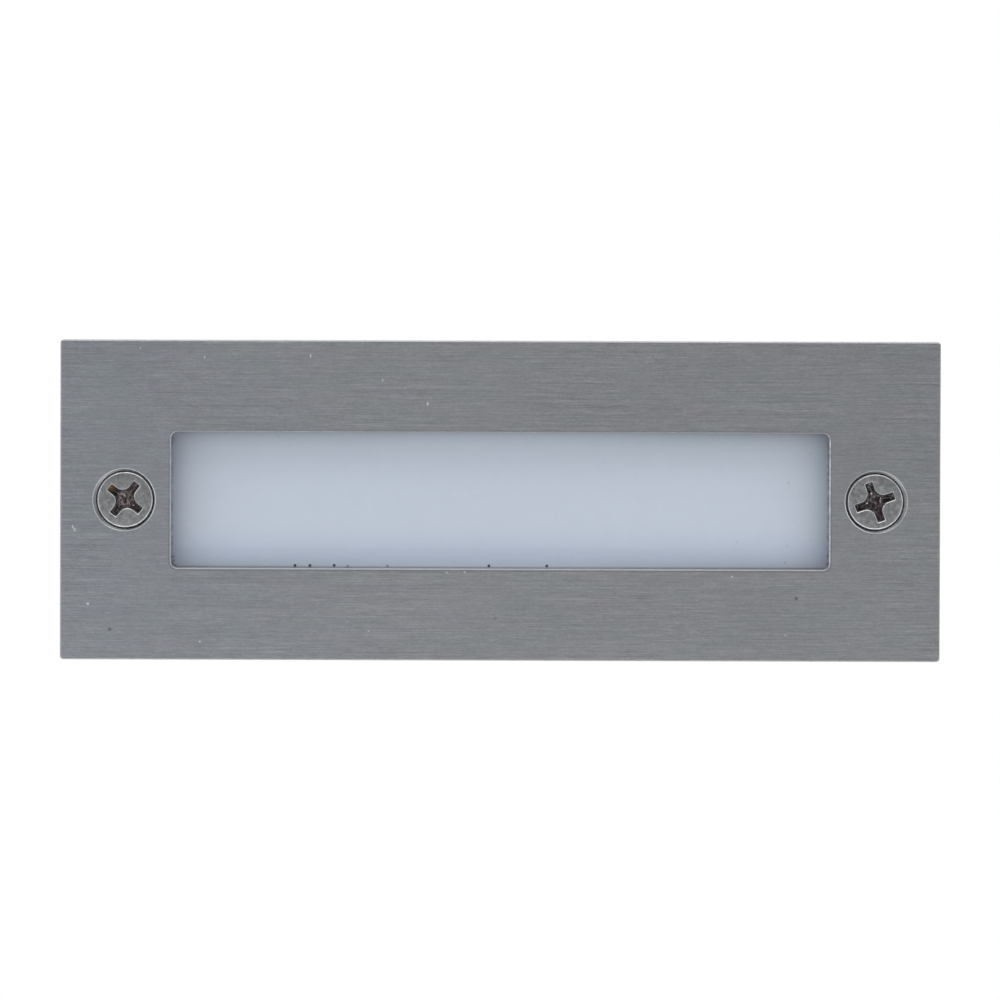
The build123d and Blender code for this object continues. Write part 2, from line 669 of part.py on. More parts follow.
with BuildPart() as gland_body:
    with BuildSketch(across(38.0)):
        RegularPolygon(GLAND_FLATS / 2, 6, major_radius=False)
    extrude(amount=38.0 - COVER_BACK - 1.0)
    with BuildSketch(across(COVER_BACK + 1.5)):
        Circle(GLAND_THREAD_R)
    extrude(amount=COVER_BACK + 1.5 - 27.8)
    with BuildSketch(across(43.0)):
        Circle(GLAND_THREAD_R)
    extrude(amount=5.5)
    with BuildSketch(across(37.5)):
        Circle(3.6)
    extrude(amount=37.5 - 27.8, mode=Mode.SUBTRACT)
    with BuildSketch(across(43.0)):
        Circle(4.45)
    extrude(amount=5.5, mode=Mode.SUBTRACT)
gland_body.part.label = "gland_body"
export_step(gland_body.part, "parts/gland_body.step")

with BuildPart() as gland_seal:
    with BuildSketch(across(43.0)):
        Circle(4.4)
        Circle(SEAL_BORE_R, mode=Mode.SUBTRACT)
    extrude(amount=5.5)
gland_seal.part.label = "gland_seal"
export_step(gland_seal.part, "parts/gland_seal.step")

with BuildPart() as gland_nut:
    with BuildSketch(across(42.6)):
        RegularPolygon(GLAND_FLATS / 2, 6, major_radius=False)
    extrude(amount=42.6 - 38.3)
    with BuildSketch(turning(0)):
        with BuildLine():
            Polyline(
                (0, 42.0),
                (7.4, 42.0),
                (7.4, 43.2),
                (6.6, 44.8),
                (5.2, 45.8),
                (0, 45.8),
                close=True,
            )
        make_face()
    revolve(axis=line_along_y(0))
    with BuildSketch(turning(0)):
        with BuildLine():
            Polyline(
                (0, 38.2),
                (GLAND_NUT_BORE_R, 38.2),
                (GLAND_NUT_BORE_R, 43.3),
                (4.0, 44.4),
                (3.5, 44.4),
                (3.5, 45.9),
                (0, 45.9),
                close=True,
            )
        make_face()
    revolve(axis=line_along_y(0), mode=Mode.SUBTRACT)
gland_nut.part.label = "gland_nut"
export_step(gland_nut.part, "parts/gland_nut.step")

# ---- captive washers on the face screws ------------------------------------------
with BuildPart() as retainer_left:
    with BuildSketch(across(8.9)):
        with Locations((-SCREW_X, 0)):
            Circle(3.1)
            Circle(2.025, mode=Mode.SUBTRACT)
    extrude(amount=1.0)
retainer_left.part.label = "retainer_left"
export_step(retainer_left.part, "parts/retainer_left.step")

with BuildPart() as retainer_right:
    with BuildSketch(across(8.9)):
        with Locations((SCREW_X, 0)):
            Circle(3.1)
            Circle(2.025, mode=Mode.SUBTRACT)
    extrude(amount=1.0)
retainer_right.part.label = "retainer_right"
export_step(retainer_right.part, "parts/retainer_right.step")

# ---- face screws --------------------------------------------------------------------
with BuildPart() as screw_left:
    with BuildSketch(turning(-SCREW_X)):
        with BuildLine():
            Polyline(
                (0, SCREW_TOP),
                (SCREW_HEAD_R - 0.12, SCREW_TOP),
                (SCREW_HEAD_R, SCREW_TOP + 0.12),
                (SCREW_HEAD_R, SCREW_RIM),
                (SCREW_R, SCREW_RIM + SCREW_HEAD_R - SCREW_R),
                (SCREW_R, SCREW_TIP - 0.6),
                (SCREW_R - 0.6, SCREW_TIP),
                (0, SCREW_TIP),
                close=True,
            )
        make_face()
    revolve(axis=line_along_y(-SCREW_X))
    # cross recess, narrower at its floor
    with BuildSketch(across(SCREW_TOP)) as mouth:
        with Locations((-SCREW_X, 0)):
            Rectangle(2 * CROSS_REACH, 2 * CROSS_HALF, rotation=CROSS_TURN_LEFT)
            Rectangle(2 * CROSS_HALF, 2 * CROSS_REACH, rotation=CROSS_TURN_LEFT)
        fillet(mouth.vertices().sort_by_distance((-SCREW_X, 0, 0))[:4], CROSS_ROUND)
    with BuildSketch(across(SCREW_TOP + CROSS_DEPTH)) as floor:
        with Locations((-SCREW_X, 0)):
            Rectangle(1.4 * CROSS_REACH, 1.5 * CROSS_HALF, rotation=CROSS_TURN_LEFT)
            Rectangle(1.5 * CROSS_HALF, 1.4 * CROSS_REACH, rotation=CROSS_TURN_LEFT)
        fillet(floor.vertices().sort_by_distance((-SCREW_X, 0, 0))[:4], 0.7 * CROSS_ROUND)
    loft(mode=Mode.SUBTRACT)
screw_left.part.label = "screw_left"
export_step(screw_left.part, "parts/screw_left.step")

with BuildPart() as screw_right:
    with BuildSketch(turning(SCREW_X)):
        with BuildLine():
            Polyline(
                (0, SCREW_TOP),
                (SCREW_HEAD_R - 0.12, SCREW_TOP),
                (SCREW_HEAD_R, SCREW_TOP + 0.12),
                (SCREW_HEAD_R, SCREW_RIM),
                (SCREW_R, SCREW_RIM + SCREW_HEAD_R - SCREW_R),
                (SCREW_R, SCREW_TIP - 0.6),
                (SCREW_R - 0.6, SCREW_TIP),
                (0, SCREW_TIP),
                close=True,
            )
        make_face()
    revolve(axis=line_along_y(SCREW_X))
    with BuildSketch(across(SCREW_TOP)) as mouth:
        with Locations((SCREW_X, 0)):
            Rectangle(2 * CROSS_REACH, 2 * CROSS_HALF, rotation=CROSS_TURN_RIGHT)
            Rectangle(2 * CROSS_HALF, 2 * CROSS_REACH, rotation=CROSS_TURN_RIGHT)
        fillet(mouth.vertices().sort_by_distance((SCREW_X, 0, 0))[:4], CROSS_ROUND)
    with BuildSketch(across(SCREW_TOP + CROSS_DEPTH)) as floor:
        with Locations((SCREW_X, 0)):
            Rectangle(1.4 * CROSS_REACH, 1.5 * CROSS_HALF, rotation=CROSS_TURN_RIGHT)
            Rectangle(1.5 * CROSS_HALF, 1.4 * CROSS_REACH, rotation=CROSS_TURN_RIGHT)
        fillet(floor.vertices().sort_by_distance((SCREW_X, 0, 0))[:4], 0.7 * CROSS_ROUND)
    loft(mode=Mode.SUBTRACT)
screw_right.part.label = "screw_right"
export_step(screw_right.part, "parts/screw_right.step")
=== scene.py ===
import bpy
import bmesh
import math
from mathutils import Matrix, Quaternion, Vector


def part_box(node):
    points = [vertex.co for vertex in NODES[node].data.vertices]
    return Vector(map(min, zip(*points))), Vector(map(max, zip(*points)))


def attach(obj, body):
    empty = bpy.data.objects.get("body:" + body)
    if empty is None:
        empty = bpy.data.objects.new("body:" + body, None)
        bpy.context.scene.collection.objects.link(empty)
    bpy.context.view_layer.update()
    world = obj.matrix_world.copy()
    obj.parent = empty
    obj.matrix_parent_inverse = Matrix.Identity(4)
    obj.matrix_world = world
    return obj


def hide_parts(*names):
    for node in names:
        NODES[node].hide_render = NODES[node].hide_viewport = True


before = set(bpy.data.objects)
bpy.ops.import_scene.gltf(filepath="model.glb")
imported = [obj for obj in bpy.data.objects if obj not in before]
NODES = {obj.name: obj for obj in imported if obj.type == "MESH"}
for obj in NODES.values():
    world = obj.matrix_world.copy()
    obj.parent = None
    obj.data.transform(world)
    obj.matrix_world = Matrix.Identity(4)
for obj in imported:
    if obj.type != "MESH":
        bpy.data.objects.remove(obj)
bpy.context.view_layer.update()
MM = 0.001


# ---------------------------------------------------------------------------
# shading helpers
# ---------------------------------------------------------------------------
def lin(r, g, b, a=1.0):
    """An 8-bit screen colour as the linear colour that a shader takes."""
    def one(c):
        c = c / 255.0
        return c / 12.92 if c <= 0.04045 else ((c + 0.055) / 1.055) ** 2.4
    return (one(r), one(g), one(b), a)


class Shade:
    """A material with short calls for the nodes that the finishes below share."""

    def __init__(self, name, base=(0.5, 0.5, 0.5, 1.0), metallic=0.0, roughness=0.5, **sockets):
        self.mat = bpy.data.materials.new(name)
        self.mat.use_nodes = True
        self.tree = self.mat.node_tree
        self.nodes = self.tree.nodes
        self.nodes.clear()
        self.out = self.nodes.new("ShaderNodeOutputMaterial")
        self.bsdf = self.nodes.new("ShaderNodeBsdfPrincipled")
        self.link(self.bsdf.outputs[0], self.out.inputs["Surface"])
        self.bsdf.inputs["Base Color"].default_value = base
        self.bsdf.inputs["Metallic"].default_value = metallic
        self.bsdf.inputs["Roughness"].default_value = roughness
        for key, value in sockets.items():
            self.bsdf.inputs[key.replace("_", " ")].default_value = value
        self.coord = self.nodes.new("ShaderNodeTexCoord").outputs["Object"]
        self.xyz = None

    def link(self, a, b):
        self.tree.links.new(a, b)

    def feed(self, socket, value):
        if hasattr(value, "is_linked"):
            self.link(value, socket)
        else:
            socket.default_value = value

    def axis(self, k):
        if self.xyz is None:
            self.xyz = self.nodes.new("ShaderNodeSeparateXYZ")
            self.link(self.coord, self.xyz.inputs[0])
        return self.xyz.outputs[k]

    def math(self, op, a, b=None, c=None, clamp=False):
        n = self.nodes.new("ShaderNodeMath")
        n.operation = op
        n.use_clamp = clamp
        for i, v in enumerate((a, b, c)):
            if v is not None:
                self.feed(n.inputs[i], v)
        return n.outputs[0]

    def noise(self, per_m, detail=2.0, rough=0.5, shift=(0.0, 0.0, 0.0), distort=0.0):
        """Noise with per_m = cycles per metre along X, Y and Z."""
        m = self.nodes.new("ShaderNodeMapping")
        m.inputs["Scale"].default_value = per_m if not isinstance(per_m, (int, float)) else (per_m,) * 3
        m.inputs["Location"].default_value = shift
        self.link(self.coord, m.inputs["Vector"])
        n = self.nodes.new("ShaderNodeTexNoise")
        n.inputs["Scale"].default_value = 1.0
        n.inputs["Detail"].default_value = detail
        n.inputs["Roughness"].default_value = rough
        n.inputs["Distortion"].default_value = distort
        self.link(m.outputs[0], n.inputs["Vector"])
        return n.outputs["Fac"]

    def voronoi(self, per_m, feature="F1", randomness=1.0, shift=(0.0, 0.0, 0.0)):
        m = self.nodes.new("ShaderNodeMapping")
        m.inputs["Scale"].default_value = per_m if not isinstance(per_m, (int, float)) else (per_m,) * 3
        m.inputs["Location"].default_value = shift
        self.link(self.coord, m.inputs["Vector"])
        n = self.nodes.new("ShaderNodeTexVoronoi")
        n.feature = feature
        n.inputs["Scale"].default_value = 1.0
        n.inputs["Randomness"].default_value = randomness
        self.link(m.outputs[0], n.inputs["Vector"])
        return n

    def remap(self, value, lo, hi, to_lo=0.0, to_hi=1.0, smooth=False):
        n = self.nodes.new("ShaderNodeMapRange")
        if smooth:
            n.interpolation_type = "SMOOTHSTEP"
        self.feed(n.inputs["Value"], value)
        n.inputs["From Min"].default_value = lo
        n.inputs["From Max"].default_value = hi
        n.inputs["To Min"].default_value = to_lo
        n.inputs["To Max"].default_value = to_hi
        return n.outputs["Result"]

    def ramp(self, fac, stops):
        n = self.nodes.new("ShaderNodeValToRGB")
        while len(n.color_ramp.elements) < len(stops):
            n.color_ramp.elements.new(0.5)
        for e, (pos, colour) in zip(n.color_ramp.elements, stops):
            e.position = pos
            e.color = colour
        self.link(fac, n.inputs[0])
        return n.outputs[0]

    def mix(self, fac, a, b, blend="MIX"):
        n = self.nodes.new("ShaderNodeMix")
        n.data_type = "RGBA"
        n.blend_type = blend
        n.clamp_factor = True
        self.feed(n.inputs[0], fac)
        self.feed(n.inputs[6], a)
        self.feed(n.inputs[7], b)
        return n.outputs[2]

    def bump(self, height, strength, distance, normal=None):
        n = self.nodes.new("ShaderNodeBump")
        n.inputs["Strength"].default_value = strength
        n.inputs["Distance"].default_value = distance
        self.link(height, n.inputs["Height"])
        if normal is not None:
            self.link(normal, n.inputs["Normal"])
        return n.outputs[0]

    def spot(self, x, z, r_in, r_out, tall=1.0):
        """1 inside a small round spot at (x, z), seen from the front, fading to 0 at r_out. tall stretches it upright."""
        dx = self.math("SUBTRACT", self.axis(0), x)
        dz = self.math("SUBTRACT", self.axis(2), z)
        if tall != 1.0:
            dz = self.math("MULTIPLY", dz, 1.0 / tall)
        d2 = self.math("ADD", self.math("MULTIPLY", dx, dx), self.math("MULTIPLY", dz, dz))
        return self.remap(self.math("SQRT", d2), r_in, r_out, 1.0, 0.0, smooth=True)

    def spots(self, places, r_in, r_out, tall=1.0):
        """One mask for several small round spots."""
        total = None
        for x, z in places:
            one = self.spot(x, z, r_in, r_out, tall)
            total = one if total is None else self.math("MAXIMUM", total, one)
        return total

    def squareness(self):
        """How squarely the surface looks to the front or back: 1 on flat faces, 0.7 on chamfers, 0 on walls."""
        n = self.nodes.new("ShaderNodeSeparateXYZ")
        self.link(self.nodes.new("ShaderNodeTexCoord").outputs["Normal"], n.inputs[0])
        return self.math("ABSOLUTE", n.outputs[1])

    def vector_noise(self, x, y, z, detail=2.0, rough=0.5):
        """Noise over a position made of three values."""
        v = self.nodes.new("ShaderNodeCombineXYZ")
        for i, value in enumerate((x, y, z)):
            self.feed(v.inputs[i], value)
        n = self.nodes.new("ShaderNodeTexNoise")
        n.inputs["Scale"].default_value = 1.0
        n.inputs["Detail"].default_value = detail
        n.inputs["Roughness"].default_value = rough
        self.link(v.outputs[0], n.inputs["Vector"])
        return n.outputs["Fac"]

    def base(self, colour):
        self.feed(self.bsdf.inputs["Base Color"], colour)
        return self

    def rough(self, value):
        self.feed(self.bsdf.inputs["Roughness"], value)
        return self

    def normal(self, value):
        self.link(value, self.bsdf.inputs["Normal"])
        return self


def dress(shade, *names):
    """Gives a carried-over node its finish."""
    for name in names:
        mesh = NODES[name].data
        mesh.materials.clear()
        mesh.materials.append(shade.mat)


# ---------------------------------------------------------------------------
# photograph frame: pixels to metres on the plate's face
# ---------------------------------------------------------------------------
PX = 0.110 / 880.0
CENTRE = (500.2, 500.9)         # where the plate's centre is in the view
ROLL = math.radians(0.19)       # the right end sits a little lower in the view
RISE = math.radians(2.0)        # the view is from slightly above


def at_pixel(px, py):
    """(x, z) on the faceplate for a point of the 1000 x 1000 view."""
    dx, up = (px - CENTRE[0]) * PX, (CENTRE[1] - py) * PX
    return (dx * math.cos(ROLL) - up * math.sin(ROLL), (up * math.cos(ROLL) + dx * math.sin(ROLL)) / math.cos(RISE))


# ---------------------------------------------------------------------------
# faceplate: long-grain brushed stainless steel
# ---------------------------------------------------------------------------
HOLE_X, MOUTH_X = 46.90 * MM, 47.02 * MM
FACE_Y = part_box("faceplate")[0].y
WINDOW_HALF = (41.15 * MM, 8.5 * MM)


def brushed_plate():
    s = Shade("plate_steel", metallic=1.0, roughness=0.36, Anisotropic=0.55)
    # grain: four lengths of scratch, all about as fine across
    long_lines = s.noise((45.0, 9000.0, 9000.0), detail=1.0, rough=0.5)
    lines = s.noise((250.0, 9500.0, 9500.0), detail=1.0, rough=0.5, shift=(3.1, 7.7, 1.3))
    dashes = s.noise((900.0, 9500.0, 9500.0), detail=1.0, rough=0.5, shift=(9.0, 2.0, 5.0))
    flecks = s.noise((3300.0, 9500.0, 9500.0), detail=1.0, rough=0.5, shift=(2.0, 6.0, 8.0))
    grain = s.math("ADD",
                   s.math("ADD", s.math("MULTIPLY", long_lines, 0.33), s.math("MULTIPLY", lines, 0.25)),
                   s.math("ADD", s.math("MULTIPLY", dashes, 0.23), s.math("MULTIPLY", flecks, 0.25)))
    cloud = s.noise((26.0, 60.0, 60.0), detail=2.0, rough=0.5, shift=(1.7, 0.0, 4.2))
    along = s.remap(s.axis(0), -0.055, 0.055)
    tint = s.ramp(along, [(0.0, (0.438, 0.461, 0.497, 1)), (0.5, (0.443, 0.452, 0.470, 1)), (1.0, (0.414, 0.423, 0.440, 1))])
    # painted light: the plate is made lighter towards the bottom and darker towards the top
    up = s.remap(s.axis(2), -0.020, 0.020, 1.022, 0.978)
    tint = s.mix(1.0, tint, up, "MULTIPLY")
    shade = s.ramp(grain, [(0.34, (0.77, 0.77, 0.78, 1)), (0.53, (0.995, 0.995, 0.995, 1)), (0.72, (1.29, 1.29, 1.28, 1))])
    colour = s.mix(1.0, tint, shade, "MULTIPLY")
    clouds = s.ramp(cloud, [(0.30, (0.965, 0.970, 0.978, 1)), (0.70, (1.035, 1.030, 1.026, 1))])
    colour = s.mix(1.0, colour, clouds, "MULTIPLY")
    hue = s.noise((110.0, 420.0, 420.0), detail=2.0, rough=0.55, shift=(5.0, 3.0, 8.0))
    hues = s.ramp(hue, [(0.30, (0.975, 1.012, 0.990, 1)), (0.50, (1.0, 1.0, 1.0, 1)), (0.70, (1.015, 0.988, 1.020, 1))])
    colour = s.mix(1.0, colour, hues, "MULTIPLY")

    # small marks on the face: bright nicks and a few dark pits
    nicks = s.spots([at_pixel(*p) for p in (
        (140.5, 348.3), (446.7, 572.6), (368.5, 631.4), (785.5, 635.5))], 0.3 * PX, 1.15 * PX)
    soft_nicks = s.spots([at_pixel(*p) for p in ((204.7, 357.3), (382.7, 380.3))], 0.35 * PX, 1.1 * PX, tall=1.9)
    tall_nicks = s.spots([at_pixel(*p) for p in (
        (310.6, 355.9), (427.7, 403.8), (72.6, 526.8), (74.5, 529.4))], 0.45 * PX, 1.25 * PX, tall=2.1)
    bright_nicks = s.spots([at_pixel(*p) for p in ((199.6, 641.7), (464.6, 571.9), (732.1, 576.8))], 0.4 * PX, 1.5 * PX)
    round_nick = s.spots([at_pixel(87.6, 603.7)], 0.7 * PX, 1.9 * PX)
    pits = s.spots([at_pixel(*p) for p in ((109.6, 629.2), (796.3, 598.6))], 0.8 * PX, 2.4 * PX)
    faint_pits = s.spots([at_pixel(*p) for p in ((495.4, 618.2),)], 0.6 * PX, 2.4 * PX)
    colour = s.mix(s.math("MULTIPLY", nicks, 0.70), colour, (0.95, 0.95, 0.96, 1))
    colour = s.mix(s.math("MULTIPLY", soft_nicks, 0.68), colour, (0.95, 0.95, 0.96, 1))
    colour = s.mix(s.math("MULTIPLY", tall_nicks, 0.92), colour, (0.97, 0.97, 0.98, 1))
    colour = s.mix(s.math("MULTIPLY", bright_nicks, 0.80), colour, (0.97, 0.97, 0.98, 1))
    colour = s.mix(s.math("MULTIPLY", round_nick, 0.86), colour, (0.97, 0.97, 0.98, 1))
    colour = s.mix(s.math("MULTIPLY", pits, 0.62), colour, (0.12, 0.12, 0.13, 1))
    colour = s.mix(s.math("MULTIPLY", faint_pits, 0.34), colour, (0.12, 0.12, 0.13, 1))

    # edges: the outer chamfer is darker; on the window's chamfer a ragged painted highlight runs down the right and
    # left sides, strongest on the right, and its bottom is darkened as painted shade
    square = s.squareness()
    sloped = s.math("MULTIPLY", s.math("LESS_THAN", square, 0.93), s.math("GREATER_THAN", square, 0.30))
    outer = s.math("MAXIMUM",
                   s.math("GREATER_THAN", s.math("ABSOLUTE", s.axis(0)), 0.0545),
                   s.math("GREATER_THAN", s.math("ABSOLUTE", s.axis(2)), 0.0195))
    colour = s.mix(s.math("MULTIPLY", sloped, outer), colour, s.mix(s.remap(dashes, 0.3, 0.7), (0.34, 0.34, 0.36, 1), (0.44, 0.44, 0.46, 1)))
    inner = s.math("MULTIPLY", sloped, s.math("SUBTRACT", 1.0, outer))
    # painted shade: the chamfer along the window's bottom edge is darkened
    below = s.math("MULTIPLY", inner, s.math("LESS_THAN", s.axis(2), -8.40 * MM))
    colour = s.mix(s.math("MULTIPLY", below, 0.55), colour, (0.235, 0.24, 0.255, 1))
    # painted highlight: ragged light lines on the chamfer at the window's right side and, fainter, its left side
    ragged = s.noise(1500.0, detail=2.0, rough=0.6, shift=(3.0, 5.0, 2.0))
    right_chamfer_highlight = s.math("MULTIPLY", inner, s.math("MULTIPLY", s.math("GREATER_THAN", s.axis(0), 41.0 * MM), s.math("LESS_THAN", s.axis(0), 41.5 * MM)))
    colour = s.mix(s.math("MULTIPLY", right_chamfer_highlight, s.remap(ragged, 0.36, 0.64, 0.04, 0.72)), colour, (0.80, 0.80, 0.80, 1))
    left_chamfer_highlight = s.math("MULTIPLY", inner, s.math("MULTIPLY", s.math("LESS_THAN", s.axis(0), -41.0 * MM), s.math("GREATER_THAN", s.axis(0), -41.5 * MM)))
    colour = s.mix(s.math("MULTIPLY", left_chamfer_highlight, s.remap(ragged, 0.36, 0.64, 0.20, 0.52)), colour, (0.80, 0.80, 0.80, 1))
    qx = s.math("SUBTRACT", s.math("ABSOLUTE", s.axis(0)), WINDOW_HALF[0] - 0.8 * MM)
    qz = s.math("SUBTRACT", s.math("ABSOLUTE", s.axis(2)), WINDOW_HALF[1] - 0.8 * MM)
    px, pz = s.math("MAXIMUM", qx, 0.0), s.math("MAXIMUM", qz, 0.0)
    from_window = s.math("SUBTRACT",
                         s.math("ADD", s.math("SQRT", s.math("ADD", s.math("MULTIPLY", px, px), s.math("MULTIPLY", pz, pz))),
                                s.math("MINIMUM", s.math("MAXIMUM", qx, qz), 0.0)),
                         0.95 * MM)
    rim = s.math("MULTIPLY", s.remap(from_window, 0.0, 0.03 * MM), s.remap(from_window, 0.10 * MM, 0.26 * MM, 1.0, 0.0, smooth=True))
    colour = s.mix(s.math("MULTIPLY", rim, s.remap(s.axis(2), -0.009, 0.009, 0.80, 0.35)), colour, (0.30, 0.31, 0.33, 1))

    # countersinks: painted shade on the mouth's chamfer, a painted highlight line round the mouth that is brightest on
    # one side, and pale hole walls painted lighter towards the top
    metal = None
    for side, bright_at, low, high in ((-1, 6.0, 0.50, 1.0), (1, 212.0, 0.42, 0.95)):
        dx = s.math("SUBTRACT", s.axis(0), side * MOUTH_X)
        dz = s.axis(2)
        r = s.math("SQRT", s.math("ADD", s.math("MULTIPLY", dx, dx), s.math("MULTIPLY", dz, dz)))
        # painted highlight: a bright line round the mouth, brightest towards bright_at, with the metallic lowered on it
        line = s.math("MULTIPLY",
                      s.remap(r, 3.84 * MM, 3.88 * MM, 0.0, 1.0, smooth=True),
                      s.remap(r, 3.93 * MM, 3.98 * MM, 1.0, 0.0, smooth=True))
        toward = s.math("ADD",
                        s.math("MULTIPLY", dx, math.cos(math.radians(bright_at)) / (3.9 * MM)),
                        s.math("MULTIPLY", dz, math.sin(math.radians(bright_at)) / (3.9 * MM)))
        line = s.math("MULTIPLY", line, s.remap(toward, 0.45, 1.0, low, high, smooth=True))
        near = s.math("LESS_THAN", r, 3.92 * MM)
        # painted shade: the chamfer at the hole's mouth is darkened, less so towards its top
        mouth_shade = s.mix(s.remap(flecks, 0.3, 0.7), (0.175, 0.175, 0.18, 1), (0.235, 0.235, 0.24, 1))
        mouth_shade = s.mix(s.remap(dz, 0.5 * MM, 3.2 * MM, smooth=True), mouth_shade, (0.36, 0.36, 0.37, 1))
        colour = s.mix(s.math("MULTIPLY", s.math("MULTIPLY", sloped, near), 0.85), colour, mouth_shade)
        colour = s.mix(line, colour, (0.92, 0.92, 0.93, 1))
        metal = line if metal is None else s.math("MAXIMUM", metal, line)
        # painted light: the hole's walls are pale and made lighter towards the top
        inside = s.math("MULTIPLY", s.math("LESS_THAN", square, 0.95), s.spot(side * HOLE_X, 0.0, 3.69 * MM, 3.71 * MM))
        colour = s.mix(inside, colour, s.mix(s.remap(dz, 0.5 * MM, 3.2 * MM, smooth=True), (0.60, 0.61, 0.64, 1), (0.86, 0.87, 0.90, 1)))
    s.base(colour)
    s.link(s.remap(metal, 0.0, 1.0, 1.0, 0.15), s.bsdf.inputs["Metallic"])
    s.rough(s.remap(grain, 0.3, 0.7, 0.30, 0.44))
    s.normal(s.bump(grain, 0.22, 0.00002))
    tangent = s.nodes.new("ShaderNodeCombineXYZ")
    tangent.inputs[0].default_value = 1.0
    s.link(tangent.outputs[0], s.bsdf.inputs["Tangent"])
    return s


plate_steel = brushed_plate()
dress(plate_steel, "faceplate")


# ---------------------------------------------------------------------------
# lens: frosted glass
# ---------------------------------------------------------------------------
def frosted():
    """Frosted glass, with painted shade towards the window's edges and a thin dark line of painted shade along them."""
    s = Shade("frosted_lens", roughness=0.55)
    mottle = s.noise(420.0, detail=3.0, rough=0.6)
    fine = s.noise(5200.0, detail=2.0, shift=(1.0, 2.0, 3.0))
    broad = s.noise((40.0, 90.0, 90.0), detail=1.0)
    colour = s.ramp(mottle, [(0.3, (0.594, 0.657, 0.760, 1)), (0.7, (0.611, 0.674, 0.776, 1))])
    colour = s.mix(s.remap(broad, 0.3, 0.7, 0.0, 0.35), colour, (0.602, 0.659, 0.752, 1))
    colour = s.mix(1.0, colour, s.ramp(fine, [(0.3, (0.985, 0.985, 0.985, 1)), (0.7, (1.015, 1.015, 1.015, 1))]), "MULTIPLY")
    total = None
    seam_shade = None
    uneven = s.remap(s.noise(2300.0, detail=2.0, rough=0.6, shift=(7.0, 1.0, 3.0)), 0.38, 0.62, 0.0, 2.0)
    # painted shade: each row darkens the lens towards one edge of the window and draws a thin dark line along that edge
    for axis, sign, half, depth, length, dust_and_seam_shade in (
        (0, -1, WINDOW_HALF[0], 0.42, 1.9 * MM, 0.45),
        (0, 1, WINDOW_HALF[0], 0.390, 1.9 * MM, 0.44),
        (2, 1, WINDOW_HALF[1], 0.40, 1.1 * MM, 0.10),
        (2, -1, WINDOW_HALF[1], -0.22, 2.6 * MM, 0.60),
    ):
        d = s.math("SUBTRACT", half, s.math("MULTIPLY", s.axis(axis), float(sign)))
        fall = s.math("SUBTRACT", 1.0, s.math("MULTIPLY", s.math("EXPONENT", s.math("MULTIPLY", d, -1.0 / length)), depth))
        total = fall if total is None else s.math("MULTIPLY", total, fall)
        line = s.remap(d, 0.02 * MM, (0.36 if (axis, sign) == (0, 1) else 0.26) * MM, dust_and_seam_shade, 0.0, smooth=True)
        if axis == 0:
            line = s.math("MULTIPLY", line, uneven)
        seam_shade = line if seam_shade is None else s.math("MAXIMUM", seam_shade, line)
    colour = s.mix(1.0, colour, total, "MULTIPLY")
    # painted shade: the lens is darkened further along its top and bottom edges towards the window's ends
    ends = s.math("MAXIMUM",
                  s.remap(s.axis(0), 4.0 * MM, 33.0 * MM, 0.0, 1.0, smooth=True),
                  s.remap(s.axis(0), -4.0 * MM, -33.0 * MM, 0.0, 0.65, smooth=True))
    for sign, length, tint in ((1, 1.35 * MM, (0.79, 0.79, 0.76, 1)), (-1, 0.62 * MM, (0.80, 0.77, 0.73, 1))):
        d = s.math("SUBTRACT", WINDOW_HALF[1], s.math("MULTIPLY", s.axis(2), float(sign)))
        end_shade = s.math("MULTIPLY", ends, s.math("EXPONENT", s.math("MULTIPLY", d, -1.0 / length)))
        colour = s.mix(end_shade, colour, s.mix(1.0, colour, tint, "MULTIPLY"))
    # painted shade: the thin dark line along the window's edges
    colour = s.mix(s.math("MULTIPLY", seam_shade, s.remap(fine, 0.3, 0.7, 0.75, 1.0)), colour, (0.16, 0.16, 0.17, 1))
    low = s.math("MULTIPLY", s.remap(s.axis(2), -3.0 * MM, -7.0 * MM, smooth=True), s.remap(s.axis(2), -8.4 * MM, -7.5 * MM, 0.2, 1.0, smooth=True))
    colour = s.mix(low, colour, s.mix(1.0, colour, (0.985, 1.000, 1.040, 1), "MULTIPLY"))
    dots = s.spots([at_pixel(*p) for p in ((294.5, 566.4), (309.5, 566.5), (333.8, 566.4), (488.9, 566.9), (546.9, 567.0))], 0.85 * PX, 2.0 * PX)
    colour = s.mix(s.math("MULTIPLY", dots, 0.97), colour, (0.025, 0.025, 0.03, 1))
    faint_dots = s.spots([at_pixel(*p) for p in ((347.2, 567.0), (387.1, 567.0))], 0.6 * PX, 2.0 * PX)
    colour = s.mix(s.math("MULTIPLY", faint_dots, 0.56), colour, (0.09, 0.09, 0.10, 1))
    # dark specks along the window's left edge near its lower corner
    corner_specks = s.spots([at_pixel(*p) for p in ((172.4, 557.5), (173.0, 561.5), (172.2, 564.6), (174.6, 566.6))], 0.5 * PX, 2.0 * PX)
    colour = s.mix(s.math("MULTIPLY", corner_specks, 0.55), colour, (0.07, 0.07, 0.08, 1))
    marks = s.spots([at_pixel(789.0, 484.0), at_pixel(785.4, 563.6)], 0.5 * PX, 2.0 * PX)
    colour = s.mix(s.math("MULTIPLY", marks, 0.34), colour, (0.26, 0.27, 0.30, 1))
    faint_marks = s.spots([at_pixel(*p) for p in ((746.8, 435.2), (749.6, 435.6), (821.5, 438.0), (811.5, 455.0), (811.8, 541.5), (787.4, 546.6), (737.0, 542.5), (278.5, 437.5))], 0.4 * PX, 1.7 * PX)
    colour = s.mix(s.math("MULTIPLY", faint_marks, 0.24), colour, (0.24, 0.25, 0.28, 1))
    s.base(colour)
    s.rough(s.remap(mottle, 0.3, 0.7, 0.50, 0.62))
    s.normal(s.bump(fine, 0.25, 0.00001))
    return s


frosted_lens = frosted()
dress(frosted_lens, "lens")


